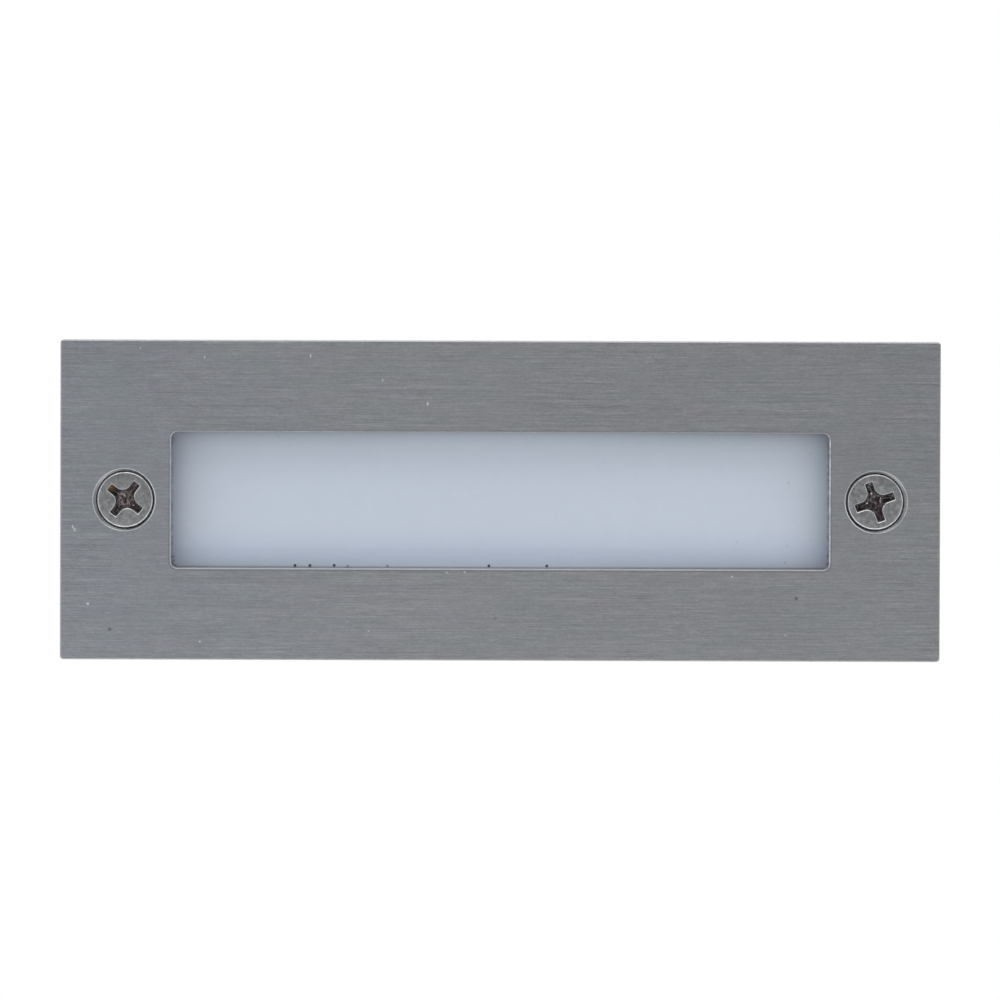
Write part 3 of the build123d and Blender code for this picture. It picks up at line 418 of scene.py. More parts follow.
# ---------------------------------------------------------------------------
# other finishes
# ---------------------------------------------------------------------------
def moulded(name, colour, light, rough=0.55, scale=2600.0, depth=0.00003, strength=0.35, scuffed=0.0):
    """Injection-moulded plastic with a fine spark-eroded texture and faint flow marks. scuffed adds light rub marks."""
    s = Shade(name, roughness=rough)
    grit = s.noise(scale, detail=3.0, rough=0.6)
    flow = s.noise((18.0, 30.0, 26.0), detail=2.0, shift=(2.0, 5.0, 1.0))
    dust_and_seam_shade = s.noise(90.0, detail=4.0, rough=0.65, shift=(8.0, 1.0, 3.0))
    c = s.mix(s.remap(flow, 0.3, 0.7), colour, light)
    c = s.mix(s.remap(dust_and_seam_shade, 0.55, 0.80, 0.0, 0.35), c, tuple(min(1.0, v * 1.7 + 0.01) for v in light[:3]) + (1.0,))
    c = s.mix(1.0, c, s.ramp(grit, [(0.32, (0.72, 0.72, 0.72, 1)), (0.50, (1.0, 1.0, 1.0, 1)), (0.68, (1.34, 1.34, 1.34, 1))]), "MULTIPLY")
    if scuffed:
        paler = tuple(min(1.0, v * 2.1 + 0.012) for v in light[:3]) + (1.0,)
        for per_m, shift in (((38.0, 520.0, 640.0), (1.0, 6.0, 3.0)), ((620.0, 30.0, 560.0), (7.0, 2.0, 5.0))):
            rub = s.remap(s.noise(per_m, detail=3.0, rough=0.6, shift=shift, distort=0.5), 0.60, 0.78)
            c = s.mix(s.math("MULTIPLY", rub, scuffed), c, paler)
    s.base(c)
    s.rough(s.remap(grit, 0.3, 0.7, rough - 0.10, rough + 0.12))
    s.normal(s.bump(grit, strength, depth))
    return s


def cast_alloy():
    s = Shade("cast_alloy", metallic=1.0, roughness=0.48)
    grit = s.noise(1500.0, detail=4.0, rough=0.7)
    swirl = s.noise((30.0, 42.0, 42.0), detail=3.0, rough=0.55, distort=0.8)
    c = s.ramp(grit, [(0.30, (0.42, 0.43, 0.44, 1)), (0.55, (0.54, 0.55, 0.56, 1)), (0.75, (0.66, 0.67, 0.68, 1))])
    c = s.mix(s.remap(swirl, 0.35, 0.75, 0.0, 0.45), c, (0.44, 0.44, 0.45, 1))
    s.base(c)
    s.rough(s.remap(grit, 0.3, 0.7, 0.40, 0.60))
    s.normal(s.bump(grit, 0.45, 0.00006))
    return s


def rubber(name, dark, light, rough=0.72):
    s = Shade(name, roughness=rough)
    skin = s.noise(1800.0, detail=3.0, rough=0.6)
    bloom = s.noise(130.0, detail=3.0, rough=0.6, shift=(4.0, 4.0, 4.0))
    c = s.mix(s.remap(bloom, 0.35, 0.75), dark, light)
    s.base(c)
    s.rough(s.remap(skin, 0.3, 0.7, rough - 0.08, rough + 0.08))
    s.normal(s.bump(skin, 0.3, 0.00003))
    return s


def zinc():
    s = Shade("zinc_steel", metallic=1.0, roughness=0.32)
    blotch = s.noise(700.0, detail=3.0, rough=0.6)
    hue = s.noise(160.0, detail=1.0, shift=(5.0, 1.0, 2.0))
    c = s.ramp(hue, [(0.35, (0.62, 0.63, 0.66, 1)), (0.5, (0.66, 0.65, 0.62, 1)), (0.65, (0.60, 0.63, 0.68, 1))])
    c = s.mix(s.remap(blotch, 0.4, 0.75, 0.0, 0.3), c, (0.48, 0.48, 0.48, 1))
    s.base(c)
    s.rough(s.remap(blotch, 0.3, 0.7, 0.25, 0.42))
    s.normal(s.bump(blotch, 0.2, 0.00002))
    return s


def brass():
    s = Shade("insert_brass", metallic=1.0, roughness=0.35)
    turn = s.noise((600.0, 9000.0, 600.0), detail=2.0)
    c = s.ramp(turn, [(0.3, (0.52, 0.36, 0.14, 1)), (0.7, (0.72, 0.53, 0.24, 1))])
    s.base(c)
    s.rough(s.remap(turn, 0.3, 0.7, 0.28, 0.45))
    s.normal(s.bump(turn, 0.25, 0.00003))
    return s


def gloss(name, a, b, rough=0.3, scale=500.0):
    s = Shade(name, roughness=rough)
    n = s.noise(scale, detail=2.0)
    s.base(s.mix(s.remap(n, 0.3, 0.7), a, b))
    s.rough(s.remap(n, 0.3, 0.7, rough - 0.05, rough + 0.08))
    s.normal(s.bump(s.noise(scale * 4, detail=2.0), 0.12, 0.00002))
    return s


def led_face():
    """White solder mask with the wide copper planes showing faintly under it."""
    s = Shade("led_board_face", roughness=0.35)
    planes = s.nodes.new("ShaderNodeTexBrick")
    m = s.nodes.new("ShaderNodeMapping")
    m.inputs["Rotation"].default_value = (math.radians(90), 0, 0)
    m.inputs["Scale"].default_value = (100.0, 100.0, 100.0)
    s.link(s.coord, m.inputs["Vector"])
    s.link(m.outputs[0], planes.inputs["Vector"])
    planes.inputs["Scale"].default_value = 1.0
    planes.inputs["Brick Width"].default_value = 1.0
    planes.inputs["Row Height"].default_value = 0.45
    planes.inputs["Mortar Size"].default_value = 0.03
    planes.inputs["Color1"].default_value = (0.80, 0.80, 0.77, 1)
    planes.inputs["Color2"].default_value = (0.78, 0.78, 0.76, 1)
    planes.inputs["Mortar"].default_value = (0.70, 0.70, 0.69, 1)
    s.base(planes.outputs["Color"])
    s.rough(s.remap(s.noise(900.0), 0.3, 0.7, 0.28, 0.42))
    s.normal(s.bump(planes.outputs["Fac"], 0.3, 0.00003))
    return s


def led_package():
    """White package body with a yellow phosphor well on its front."""
    s = Shade("led_package", roughness=0.35)
    x = s.math("SUBTRACT", s.math("MODULO", s.math("ADD", s.axis(0), 0.105), 0.010), 0.005)
    ax = s.math("ABSOLUTE", x)
    az = s.math("ABSOLUTE", s.axis(2))
    well = s.math("MULTIPLY", s.math("LESS_THAN", ax, 0.00132), s.math("LESS_THAN", az, 0.00098))
    grain = s.noise(9000.0, detail=2.0)
    yellow = s.ramp(grain, [(0.3, (0.70, 0.50, 0.05, 1)), (0.7, (0.84, 0.66, 0.12, 1))])
    s.base(s.mix(well, (0.80, 0.80, 0.77, 1), yellow))
    s.normal(s.bump(grain, 0.2, 0.00002))
    return s


def laminate():
    """Green solder mask with traces under it."""
    s = Shade("driver_laminate", roughness=0.3)
    weave = s.noise(1600.0, detail=2.0)
    m = s.nodes.new("ShaderNodeMapping")
    m.inputs["Rotation"].default_value = (math.radians(90), 0, 0)
    m.inputs["Scale"].default_value = (180.0, 180.0, 180.0)
    s.link(s.coord, m.inputs["Vector"])
    tr = s.nodes.new("ShaderNodeTexBrick")
    s.link(m.outputs[0], tr.inputs["Vector"])
    tr.inputs["Scale"].default_value = 1.0
    tr.inputs["Brick Width"].default_value = 1.1
    tr.inputs["Row Height"].default_value = 0.32
    tr.inputs["Mortar Size"].default_value = 0.05
    tr.inputs["Color1"].default_value = (0.020, 0.120, 0.050, 1)
    tr.inputs["Color2"].default_value = (0.026, 0.140, 0.058, 1)
    tr.inputs["Mortar"].default_value = (0.012, 0.075, 0.034, 1)
    s.base(s.mix(s.remap(weave, 0.4, 0.8, 0.0, 0.3), tr.outputs["Color"], (0.03, 0.16, 0.07, 1)))
    s.rough(s.remap(weave, 0.3, 0.7, 0.22, 0.38))
    s.normal(s.bump(tr.outputs["Fac"], 0.3, 0.00004))
    return s


def transformer():
    """Dark ferrite core, yellow tape on the winding, black bobbin base."""
    s = Shade("transformer_tape", roughness=0.45)
    grit = s.noise(2200.0, detail=3.0, rough=0.65)
    wrap = s.noise((400.0, 3000.0, 400.0), detail=1.0)
    tape = s.ramp(wrap, [(0.3, (0.62, 0.42, 0.03, 1)), (0.7, (0.74, 0.54, 0.07, 1))])
    ferrite = s.ramp(grit, [(0.3, (0.018, 0.018, 0.020, 1)), (0.7, (0.05, 0.05, 0.055, 1))])
    in_core = s.math("LESS_THAN", s.math("ABSOLUTE", s.axis(2)), 0.00312)
    core_len = s.math("GREATER_THAN", s.math("ABSOLUTE", s.math("ADD", s.axis(0), 0.0175)), 0.0046)
    front = s.math("GREATER_THAN", s.axis(1), 0.02725)
    core = s.math("MULTIPLY", in_core, s.math("MAXIMUM", core_len, front))
    c = s.mix(core, tape, ferrite)
    base = s.math("LESS_THAN", s.axis(1), 0.02162)
    c = s.mix(base, c, (0.02, 0.02, 0.02, 1))
    s.base(c)
    s.normal(s.bump(grit, 0.3, 0.00004))
    return s


def capacitor():
    """Dark shrink sleeve with a pale stripe, bare aluminium top."""
    s = Shade("capacitor_sleeve", roughness=0.35)
    n = s.noise(900.0, detail=2.0)
    sleeve = s.mix(s.remap(n, 0.3, 0.7), (0.010, 0.014, 0.045, 1), (0.018, 0.024, 0.070, 1))
    stripe = s.math("GREATER_THAN", s.axis(0), 0.0247)
    c = s.mix(stripe, sleeve, (0.55, 0.57, 0.62, 1))
    top = s.math("GREATER_THAN", s.axis(1), 0.02772)
    c = s.mix(top, c, (0.62, 0.63, 0.64, 1))
    s.base(c)
    s.link(top, s.bsdf.inputs["Metallic"])
    s.normal(s.bump(n, 0.15, 0.00003))
    return s


def terminal():
    """Green terminal block with plated metal in its wells."""
    s = Shade("terminal_plastic", roughness=0.35)
    n = s.noise(800.0, detail=2.0)
    body = s.mix(s.remap(n, 0.3, 0.7), (0.012, 0.150, 0.070, 1), (0.020, 0.200, 0.095, 1))
    well = s.math("MAXIMUM", s.spot(0.0134, -0.0026, 0.00166, 0.00168), s.spot(0.0134, 0.0026, 0.00166, 0.00168))
    deep = s.math("LESS_THAN", s.axis(1), 0.0281)
    metal = s.math("MULTIPLY", well, deep)
    s.base(s.mix(metal, body, (0.60, 0.60, 0.58, 1)))
    s.link(metal, s.bsdf.inputs["Metallic"])
    s.normal(s.bump(n, 0.2, 0.00003))
    return s


box_plastic = moulded("box_plastic", (0.021, 0.022, 0.024, 1), (0.032, 0.033, 0.036, 1), rough=0.50, scale=1350.0, depth=0.00007, strength=0.55, scuffed=0.45)
gland_plastic = moulded("gland_plastic", (0.012, 0.012, 0.013, 1), (0.020, 0.020, 0.022, 1), rough=0.46, scale=3600.0)
chip_black = moulded("chip_black", (0.010, 0.010, 0.010, 1), (0.018, 0.018, 0.018, 1), rough=0.5, scale=5000.0)
alloy = cast_alloy()
black_rubber = rubber("black_rubber", (0.010, 0.010, 0.011, 1), (0.020, 0.020, 0.021, 1))
grey_seal = rubber("grey_seal", (0.16, 0.165, 0.17, 1), (0.20, 0.205, 0.21, 1), rough=0.65)
thermal_sheet = rubber("thermal_sheet", (0.22, 0.29, 0.34, 1), (0.27, 0.34, 0.39, 1), rough=0.7)
zinc_steel = zinc()
insert_brass = brass()
white_plastic = gloss("white_plastic", (0.78, 0.78, 0.76, 1), (0.82, 0.82, 0.80, 1), rough=0.32)
red_lead = gloss("red_lead", (0.36, 0.012, 0.010, 1), (0.44, 0.020, 0.014, 1), rough=0.35)
black_lead = gloss("black_lead", (0.010, 0.010, 0.010, 1), (0.018, 0.018, 0.018, 1), rough=0.35)

dress(box_plastic, "recess_box")
dress(insert_brass, "thread_inserts")
dress(black_rubber, "box_grommet", "face_gasket", "gland_oring", "gland_seal")
dress(grey_seal, "lens_seal", "rear_gasket")
dress(zinc_steel, "weld_studs", "stud_washers", "stud_nuts", "board_screws", "driver_screws", "cover_screws", "retainer_left", "retainer_right")
dress(alloy, "lamp_body", "rear_cover")
dress(white_plastic, "reflector")
dress(led_face(), "led_board")
dress(led_package(), "leds")
dress(thermal_sheet, "thermal_pad")
dress(red_lead, "led_lead_red")
dress(black_lead, "led_lead_black")
dress(laminate(), "driver_board")
dress(transformer(), "driver_transformer")
dress(capacitor(), "driver_capacitors")
dress(chip_black, "driver_chips")
dress(terminal(), "driver_terminal")
dress(gland_plastic, "gland_locknut", "gland_body", "gland_nut")


# ---------------------------------------------------------------------------
# face screws: M4 countersunk with a cross recess and a rolled thread
# ---------------------------------------------------------------------------
def screw_head_steel():
    s = Shade("screw_steel", metallic=1.0, roughness=0.40)
    mottle = s.noise(2300.0, detail=3.0, rough=0.65)
    broad = s.noise(420.0, detail=2.0, shift=(6.0, 1.0, 2.0))
    c = s.ramp(mottle, [(0.34, (0.250, 0.254, 0.262, 1)), (0.50, (0.322, 0.326, 0.332, 1)), (0.66, (0.420, 0.424, 0.428, 1))])
    c = s.mix(s.remap(broad, 0.4, 0.7, 0.0, 0.5), c, (0.312, 0.330, 0.326, 1))
    s.base(c)
    s.rough(s.remap(mottle, 0.3, 0.7, 0.34, 0.50))
    s.normal(s.bump(mottle, 0.25, 0.00002))
    return s


def screw_edge_steel():
    """Bright edges of the head and of its recess: worn steel, partly made lighter as a painted highlight; the recess's
    lip is painted lighter where it faces up and darker where it faces down.
    """
    s = Shade("screw_edge", metallic=0.7, roughness=0.30)
    wear = s.noise(1100.0, detail=2.0, shift=(2.0, 2.0, 7.0))
    c = s.ramp(wear, [(0.30, (0.49, 0.505, 0.515, 1)), (0.60, (0.72, 0.735, 0.75, 1))])
    facing = s.nodes.new("ShaderNodeSeparateXYZ")
    s.link(s.nodes.new("ShaderNodeTexCoord").outputs["Normal"], facing.inputs[0])
    dx = s.math("SUBTRACT", s.math("ABSOLUTE", s.axis(0)), HOLE_X)
    r = s.math("SQRT", s.math("ADD", s.math("MULTIPLY", dx, dx), s.math("MULTIPLY", s.axis(2), s.axis(2))))
    lip = s.math("LESS_THAN", r, 3.0 * MM)
    # painted light: the lip is lighter where it faces up and darker where it faces down
    lit_from_above = s.remap(facing.outputs[2], -0.35, 0.35, 0.50, 1.30, smooth=True)
    c = s.mix(s.math("MULTIPLY", lip, 1.0), c, s.mix(1.0, c, lit_from_above, "MULTIPLY"))
    s.base(c)
    s.rough(s.remap(wear, 0.3, 0.7, 0.36, 0.26))
    s.normal(s.bump(wear, 0.15, 0.00002))
    return s


def recess_stain(name, x0, turn, glints, centre_light, tints, patch=None):
    """Steel inside the cross recess: tool streaks along its arms, brownish-purple residue, painted light towards its
    deep centre, painted shade just under the lip and a few painted glints. tints are the residue's colour and a tint
    for the arms, and patch is an orange-brown spot. Places are in millimetres from the head's centre."""
    s = Shade(name, metallic=0.30, roughness=0.55)
    c, k = math.cos(math.radians(turn)), math.sin(math.radians(turn))
    dx, dz = s.math("SUBTRACT", s.axis(0), x0), s.axis(2)
    u = s.math("ADD", s.math("MULTIPLY", dx, c), s.math("MULTIPLY", dz, k))
    v = s.math("SUBTRACT", s.math("MULTIPLY", dz, c), s.math("MULTIPLY", dx, k))
    on_u = s.math("GREATER_THAN", s.math("ABSOLUTE", u), s.math("ABSOLUTE", v))
    on_v = s.math("SUBTRACT", 1.0, on_u)
    along = s.math("ADD", s.math("MULTIPLY", u, on_u), s.math("MULTIPLY", v, on_v))
    across = s.math("ADD", s.math("MULTIPLY", v, on_u), s.math("MULTIPLY", u, on_v))
    arms = s.vector_noise(s.math("MULTIPLY", across, 4200.0), s.math("MULTIPLY", along, 1100.0), s.math("MULTIPLY", s.axis(1), 1500.0), detail=2.0, rough=0.6)
    sweep = s.noise((4000.0, 1500.0, 1500.0), detail=2.0, rough=0.6, shift=(4.0, 2.0, 1.0), distort=0.6)
    out = s.remap(s.math("SQRT", s.math("ADD", s.math("MULTIPLY", u, u), s.math("MULTIPLY", v, v))), 0.5 * MM, 1.2 * MM, smooth=True)
    streak = s.math("ADD", s.math("MULTIPLY", arms, out), s.math("MULTIPLY", sweep, s.math("SUBTRACT", 1.0, out)))
    n = s.noise(2400.0, detail=3.0, rough=0.65)
    hue = s.noise(620.0, detail=2.0, shift=(3.0, 3.0, 9.0))
    both = s.math("ADD", s.math("MULTIPLY", streak, 0.6), s.math("MULTIPLY", n, 0.4))
    colour = s.ramp(both, [(0.42, (0.030, 0.026, 0.028, 1)), (0.49, (0.165, 0.140, 0.148, 1)), (0.55, (0.340, 0.292, 0.302, 1)), (0.61, (0.760, 0.680, 0.680, 1))])
    colour = s.mix(s.remap(hue, 0.45, 0.70, 0.0, 0.45), colour, tints[0])
    colour = s.mix(s.math("MULTIPLY", out, s.remap(hue, 0.30, 0.60, 0.75, 0.25)), colour, s.mix(1.0, colour, tints[1], "MULTIPLY"))
    # painted light: the colour is lifted towards the recess's deep centre
    centre = s.remap(s.math("SUBTRACT", 1.0, out), 0.0, 1.0, 1.0, centre_light)
    colour = s.mix(1.0, colour, centre, "MULTIPLY")
    # painted shade: darkest just under the lip, fading further down
    depth = s.math("SUBTRACT", s.axis(1), FACE_Y)
    shade_under_lip = s.remap(depth, 0.22 * MM, 0.85 * MM, 0.25, 1.0, smooth=True)
    colour = s.mix(1.0, colour, shade_under_lip, "MULTIPLY")
    # painted highlights: small bright glints, with the metallic raised and the roughness lowered on them
    shine = None
    for gx, gz, size in glints:
        one = s.spot(x0 + gx * MM, gz * MM, size * 0.5 * MM, size * MM)
        colour = s.mix(one, colour, (0.98, 0.88, 0.80, 1))
        shine = one if shine is None else s.math("MAXIMUM", shine, one)
    if patch:
        px, pz, size = patch
        colour = s.mix(s.math("MULTIPLY", s.spot(x0 + px * 0.72 * MM, pz * 0.72 * MM, 0.25 * MM, 0.60 * MM), 0.75), colour, s.mix(s.remap(streak, 0.40, 0.60), (0.020, 0.022, 0.016, 1), (0.13, 0.14, 0.11, 1)))
        edge = s.math("MULTIPLY", s.spot(x0 + px * MM, pz * MM, size * 0.35 * MM, size * MM), s.remap(n, 0.30, 0.55, 0.45, 1.0))
        colour = s.mix(edge, colour, s.mix(s.remap(streak, 0.35, 0.65), (0.16, 0.098, 0.040, 1), (0.44, 0.29, 0.145, 1)))
    s.base(colour)
    s.link(s.remap(shine, 0.0, 1.0, 0.30, 1.0), s.bsdf.inputs["Metallic"])
    s.rough(s.math("MULTIPLY", s.remap(n, 0.3, 0.7, 0.45, 0.70), s.remap(shine, 0.0, 1.0, 1.0, 0.35)))
    s.normal(s.bump(both, 0.5, 0.00006))
    return s


screw_steel = screw_head_steel()
screw_edge = screw_edge_steel()


def cross_outline(reach, half, fillet, turn, grow=0.0, arc_steps=12, at=(0.0, 0.0)):
    """Points (x, z) in millimetres of a cross with straight-ended arms and rounded inner corners, counter-clockwise.
    grow moves the whole outline outwards, along its normals."""
    reach, half, fillet = reach + grow, half + grow, fillet - grow
    quarter = [(reach, -half), (reach, -half * 0.5), (reach, 0.0), (reach, half * 0.5), (reach, half)]
    cx = cz = half + fillet
    flank = 4
    for i in range(1, flank):
        quarter.append((reach + (cx - reach) * i / flank, half))
    for i in range(arc_steps + 1):
        a = -math.pi / 2 - (math.pi / 2) * i / arc_steps
        quarter.append((cx + fillet * math.cos(a), cz + fillet * math.sin(a)))
    for i in range(flank - 1, 0, -1):
        quarter.append((half, reach + (cz - reach) * i / flank))
    points = []
    for q in range(4):
        rot = math.radians(turn) + q * math.pi / 2
        for x, z in quarter:
            points.append((at[0] + x * math.cos(rot) - z * math.sin(rot), at[1] + x * math.sin(rot) + z * math.cos(rot)))
    return points


def circle(radius, n, turn, at=(0.0, 0.0), like=None, even=1.0):
    """n points of a circle, evenly spread; with like, they lie partly at that outline's angles."""
    points = []
    for i in range(n):
        a = math.radians(turn) + 2 * math.pi * (i - 2) / n
        if like is not None and even < 1.0:
            b = math.atan2(like[i][1] - at[1], like[i][0] - at[0])
            while b - a > math.pi:
                b -= 2 * math.pi
            while a - b > math.pi:
                b += 2 * math.pi
            a = a * even + b * (1.0 - even)
        points.append((at[0] + radius * math.cos(a), at[1] + radius * math.sin(a)))
    return points


def blend_points(a, b, k):
    return [(p[0] + (q[0] - p[0]) * k, p[1] + (q[1] - p[1]) * k) for p, q in zip(a, b)]


def build_screw(name, x0, turn, stain, reach, half, off):
    """The whole screw as one closed mesh: rings from the recess's floor out over the head, down the shank and round the
    tip. off is how far the punched recess sits from the head's centre, in millimetres."""
    node = "screw_left" if x0 < 0 else "screw_right"
    lo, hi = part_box(node)
    top, tip = lo.y, hi.y
    head_r, shank_r = (hi.x - lo.x) / 2, 1.975 * MM
    bm = bmesh.new()
    layers = []

    def ring(points, depth, material):
        """One ring of vertices from points in millimetres; depth in metres from the head's top, one value or a list."""
        depths = depth if isinstance(depth, list) else [depth] * len(points)
        verts = [bm.verts.new((x0 + x * MM, top + d, z * MM)) for (x, z), d in zip(points, depths)]
        layers.append((verts, material))

    def mouth(grow):
        return cross_outline(reach, half, 1.15, turn, grow, at=off)

    floor = cross_outline(reach * 0.80, half * 0.52, 0.95, turn, at=off)
    edge = mouth(0.0)
    n = len(edge)
    # recess: conical pit in the middle, floor, walls, rolled lip
    for radius, depth in ((0.10, 2.30), (0.34, 2.06), (0.62, 1.76), (0.70, 1.68)):
        ring(circle(radius, n, turn, off, floor, 0.3), depth * MM, 1)
    ring(blend_points(circle(0.70, n, turn, off, floor, 0.3), floor, 0.30), 1.64 * MM, 1)
    ring(blend_points(circle(0.70, n, turn, off, floor, 0.3), floor, 0.85), 1.60 * MM, 1)
    ring(floor, 1.54 * MM, 1)
    for k, depth in ((0.20, 1.30), (0.50, 0.86), (0.80, 0.42)):
        ring(blend_points(floor, edge, k), depth * MM, 1)
    ring(mouth(-0.030), 0.160 * MM, 1)
    ring(mouth(-0.008), 0.100 * MM, 1)
    for grow, depth in ((0.020, 0.055), (0.055, 0.024), (0.090, 0.007)):
        ring(mouth(grow), depth * MM, 2)
    ring(mouth(0.125), 0.0, 0)
    # head: flat top out to a turned edge, rim, cone
    hr = head_r / MM
    ring(blend_points(mouth(0.125), circle(hr - 0.26, n, turn, like=edge, even=0.5), 0.5), 0.0, 0)
    ring(circle(hr - 0.215, n, turn), 0.0, 0)
    ring(circle(hr - 0.170, n, turn), 0.008 * MM, 0)
    ring(circle(hr - 0.115, n, turn), 0.034 * MM, 2)
    ring(circle(hr - 0.060, n, turn), 0.074 * MM, 2)
    ring(circle(hr - 0.018, n, turn), 0.130 * MM, 2)
    ring(circle(hr, n, turn), 0.20 * MM, 2)
    ring(circle(hr, n, turn), 0.67 * MM, 2)
    neck = 0.67 + hr - shank_r / MM
    ring(circle(shank_r / MM + 0.03, n, turn), (neck - 0.03) * MM, 0)
    ring(circle(shank_r / MM, n, turn), (neck + 0.05) * MM, 0)

    # thread: rings follow the helix, so that its crest and root run along them
    pitch = 0.7 * MM
    start, end = (neck + 1.2) * MM, (tip - top) - 0.75 * MM
    steps = 8
    count = int((end - start) / pitch * steps)
    crest, root = shank_r / MM, shank_r / MM - 0.40
    ring(circle(shank_r / MM, n, turn), start - 0.35 * MM, 0)
    for k in range(count + 1):
        base = start + (end - start) * k / count
        p = ((base - start) / pitch) % 1.0
        profile = abs(p - 0.5) * 2.0           # 1 at the crest, 0 at the root
        profile = min(1.0, max(0.0, (profile - 0.10) / 0.78))
        fade = min(1.0, k / steps / 1.2, (count - k) / steps / 0.8 + 0.15)
        radius = crest - (crest - root) * (1.0 - profile) * max(0.0, fade)
        ring(circle(radius, n, turn), [base - pitch * i / n for i in range(n)], 0)
    last = (tip - top)
    ring(circle(root + 0.05, n, turn), last - 0.50 * MM, 0)
    ring(circle(root - 0.25, n, turn), last - 0.10 * MM, 0)
    ring(circle(root - 0.45, n, turn), last, 0)

    # faces between rings
    for (va, _), (vb, mb) in zip(layers, layers[1:]):
        for i in range(n):
            j = (i + 1) % n
            f = bm.faces.new((va[i], vb[i], vb[j], va[j]))
            f.material_index = mb
            f.smooth = True
    # floor and tip caps
    for verts, material, flip in ((layers[0][0], 1, False), (layers[-1][0], 0, True)):
        centre = bm.verts.new(sum((v.co for v in verts), Vector()) / n)
        for i in range(n):
            j = (i + 1) % n
            f = bm.faces.new((centre, verts[i], verts[j]) if not flip else (centre, verts[j], verts[i]))
            f.material_index = material
            f.smooth = True
    bmesh.ops.recalc_face_normals(bm, faces=bm.faces)
    mesh = bpy.data.meshes.new(name)
    bm.to_mesh(mesh)
    bm.free()
    mesh.materials.append(screw_steel.mat)
    mesh.materials.append(stain.mat)
    mesh.materials.append(screw_edge.mat)
    piece = bpy.data.objects.new(name, mesh)
    bpy.context.scene.collection.objects.link(piece)
    return piece


left_x = (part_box("screw_left")[0].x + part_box("screw_left")[1].x) / 2
right_x = (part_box("screw_right")[0].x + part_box("screw_right")[1].x) / 2
left_screw = build_screw(
    "face_screw_left", left_x, 52.5,
    recess_stain("recess_stain_left", left_x, 52.5, ((0.32, 0.09, 0.17), (1.00, -0.75, 0.11), (-0.55, -1.30, 0.08)), 1.9, ((0.180, 0.120, 0.120, 1), (0.66, 0.70, 0.74, 1)), (-1.86, 1.42, 0.64)),
    2.45, 0.485, (-0.02, 0.07))
right_screw = build_screw(
    "face_screw_right", right_x, 19.0,
    recess_stain("recess_stain_right", right_x, 19.0, ((-1.05, -0.15, 0.19), (-0.50, 1.00, 0.14), (0.72, 0.42, 0.07)), 1.15, ((0.170, 0.078, 0.088, 1), (0.62, 0.74, 0.72, 1))),
    2.52, 0.48, (-0.04, -0.04))
for piece, body, node in (
    (left_screw, "left_screw", "screw_left"),
    (right_screw, "right_screw", "screw_right"),
):
    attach(piece, body)
    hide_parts(node)


# ---------------------------------------------------------------------------
# floor, light and camera
# ---------------------------------------------------------------------------
def pale_floor():
    bm = bmesh.new()
    bmesh.ops.create_grid(bm, x_segments=12, y_segments=12, size=6.0)
    mesh = bpy.data.meshes.new("floor")
    bm.to_mesh(mesh)
    bm.free()
    s = Shade("floor_white", roughness=0.9)
    n = s.noise(3.0, detail=2.0)
    s.base(s.ramp(n, [(0.3, (0.88, 0.88, 0.88, 1)), (0.7, (0.90, 0.90, 0.90, 1))]))
    s.bsdf.inputs["Emission Color"].default_value = (1, 1, 1, 1)
    s.bsdf.inputs["Emission Strength"].default_value = 0.35
    mesh.materials.append(s.mat)
    floor = bpy.data.objects.new("floor", mesh)
    floor.location = (0, 0, -0.95)
    bpy.context.scene.collection.objects.link(floor)


pale_floor()

WORLD_LIGHT = (0.340, 0.344, 0.350, 1)
world = bpy.data.worlds.new("studio")
bpy.context.scene.world = world
world.use_nodes = True
wt = world.node_tree
wt.nodes.clear()
w_out = wt.nodes.new("ShaderNodeOutputWorld")
w_mix = wt.nodes.new("ShaderNodeMixShader")
w_see = wt.nodes.new("ShaderNodeBackground")
w_lit = wt.nodes.new("ShaderNodeBackground")
w_path = wt.nodes.new("ShaderNodeLightPath")
w_see.inputs[0].default_value = (1, 1, 1, 1)
w_see.inputs[1].default_value = 1.0
w_lit.inputs[0].default_value = WORLD_LIGHT
w_lit.inputs[1].default_value = 1.0
w_dir = wt.nodes.new("ShaderNodeSeparateXYZ")
wt.links.new(wt.nodes.new("ShaderNodeTexCoord").outputs["Generated"], w_dir.inputs[0])
w_back = wt.nodes.new("ShaderNodeMapRange")
w_back.interpolation_type = "SMOOTHSTEP"
w_back.inputs["From Min"].default_value = 0.0
w_back.inputs["From Max"].default_value = 0.45
wt.links.new(w_dir.outputs[1], w_back.inputs["Value"])
w_tone = wt.nodes.new("ShaderNodeMix")
w_tone.data_type = "RGBA"
w_tone.inputs[6].default_value = WORLD_LIGHT
w_tone.inputs[7].default_value = (0.95, 0.95, 0.95, 1)
wt.links.new(w_back.outputs["Result"], w_tone.inputs[0])
wt.links.new(w_tone.outputs[2], w_lit.inputs[0])
wt.links.new(w_path.outputs["Is Camera Ray"], w_mix.inputs[0])
wt.links.new(w_lit.outputs[0], w_mix.inputs[1])
wt.links.new(w_see.outputs[0], w_mix.inputs[2])
wt.links.new(w_mix.outputs[0], w_out.inputs[0])


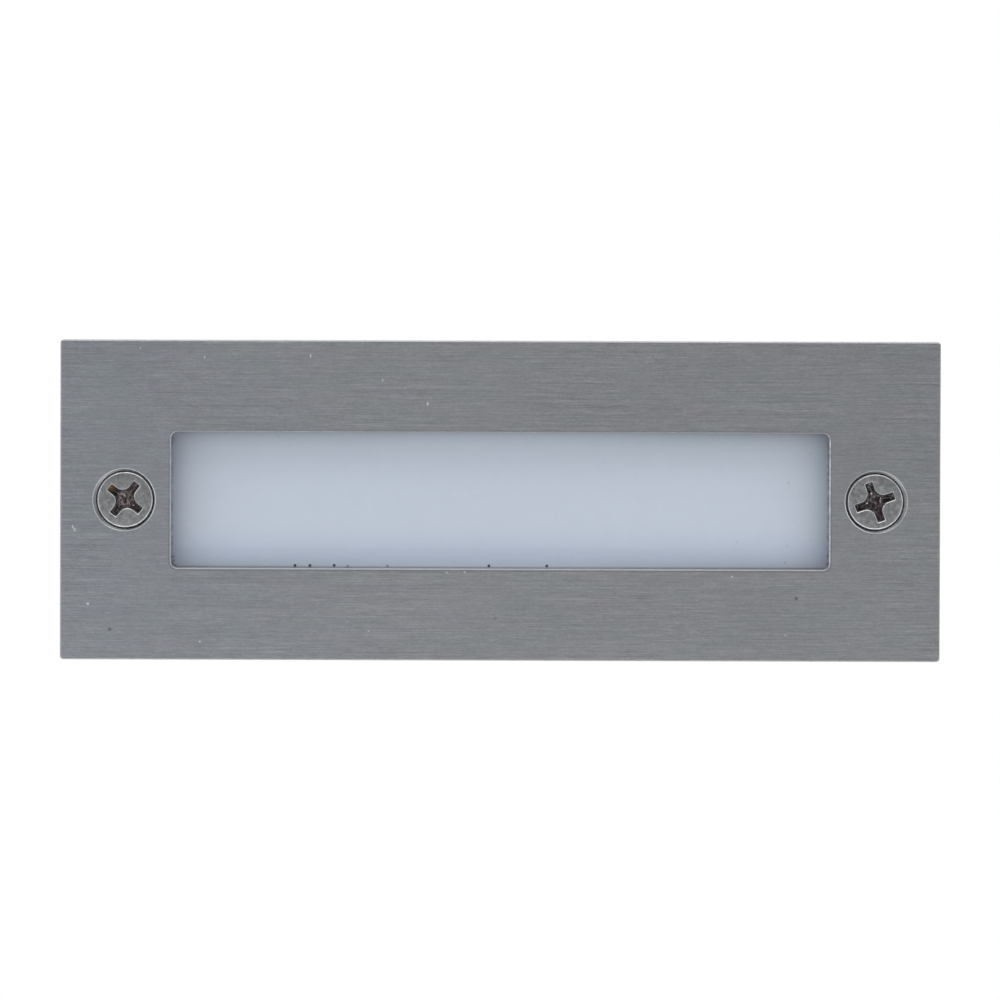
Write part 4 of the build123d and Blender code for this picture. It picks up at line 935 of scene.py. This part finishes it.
def softbox(name, at, size, watts, colour=(1, 1, 1)):
    data = bpy.data.lights.new(name, "AREA")
    data.shape = "RECTANGLE"
    data.size, data.size_y = size
    data.energy = watts
    data.color = colour
    light = bpy.data.objects.new(name, data)
    light.location = at
    light.rotation_euler = (Vector((0, 0, 0)) - Vector(at)).to_track_quat("-Z", "Y").to_euler()
    bpy.context.scene.collection.objects.link(light)


softbox("softbox_top", (0.0, -0.42, 1.20), (1.6, 0.9), 8.5)
softbox("softbox_low", (0.0, -0.60, -0.85), (1.6, 0.7), 2.6)
softbox("softbox_left", (-1.25, -0.42, 0.25), (0.7, 1.0), 2.8, (0.95, 0.98, 1.0))
softbox("softbox_right", (1.25, -0.55, 0.25), (0.7, 1.0), 1.7, (1.0, 0.99, 0.97))
softbox("softbox_back", (0.0, 1.4, 0.9), (1.2, 0.9), 4.2)

camera_data = bpy.data.cameras.new("camera")
camera_data.lens = 420.0
camera_data.sensor_width = 36.0
camera_data.sensor_fit = "AUTO"
camera_data.clip_start, camera_data.clip_end = 0.05, 60.0
camera = bpy.data.objects.new("camera", camera_data)
# the view's width at the face is 1000 px of PX each
distance = (1000 * PX) * camera_data.lens / camera_data.sensor_width
aim = Vector((0.0, math.cos(RISE), -math.sin(RISE)))
turned = aim.to_track_quat("-Z", "Y") @ Quaternion((0.0, 0.0, 1.0), ROLL)
right, above = turned @ Vector((1.0, 0.0, 0.0)), turned @ Vector((0.0, 1.0, 0.0))
target = Vector((0.0, FACE_Y, 0.0)) + right * ((500.0 - CENTRE[0]) * PX) + above * ((CENTRE[1] - 500.0) * PX)
camera.location = target - aim * distance
camera.rotation_euler = turned.to_euler()
bpy.context.scene.collection.objects.link(camera)
bpy.context.scene.camera = camera

scene = bpy.context.scene
scene.view_settings.view_transform = "Standard"
scene.view_settings.look = "None"
scene.view_settings.exposure = 0.0
scene.view_settings.gamma = 1.0
scene.cycles.max_bounces = 8
scene.cycles.diffuse_bounces = 4
scene.cycles.glossy_bounces = 4
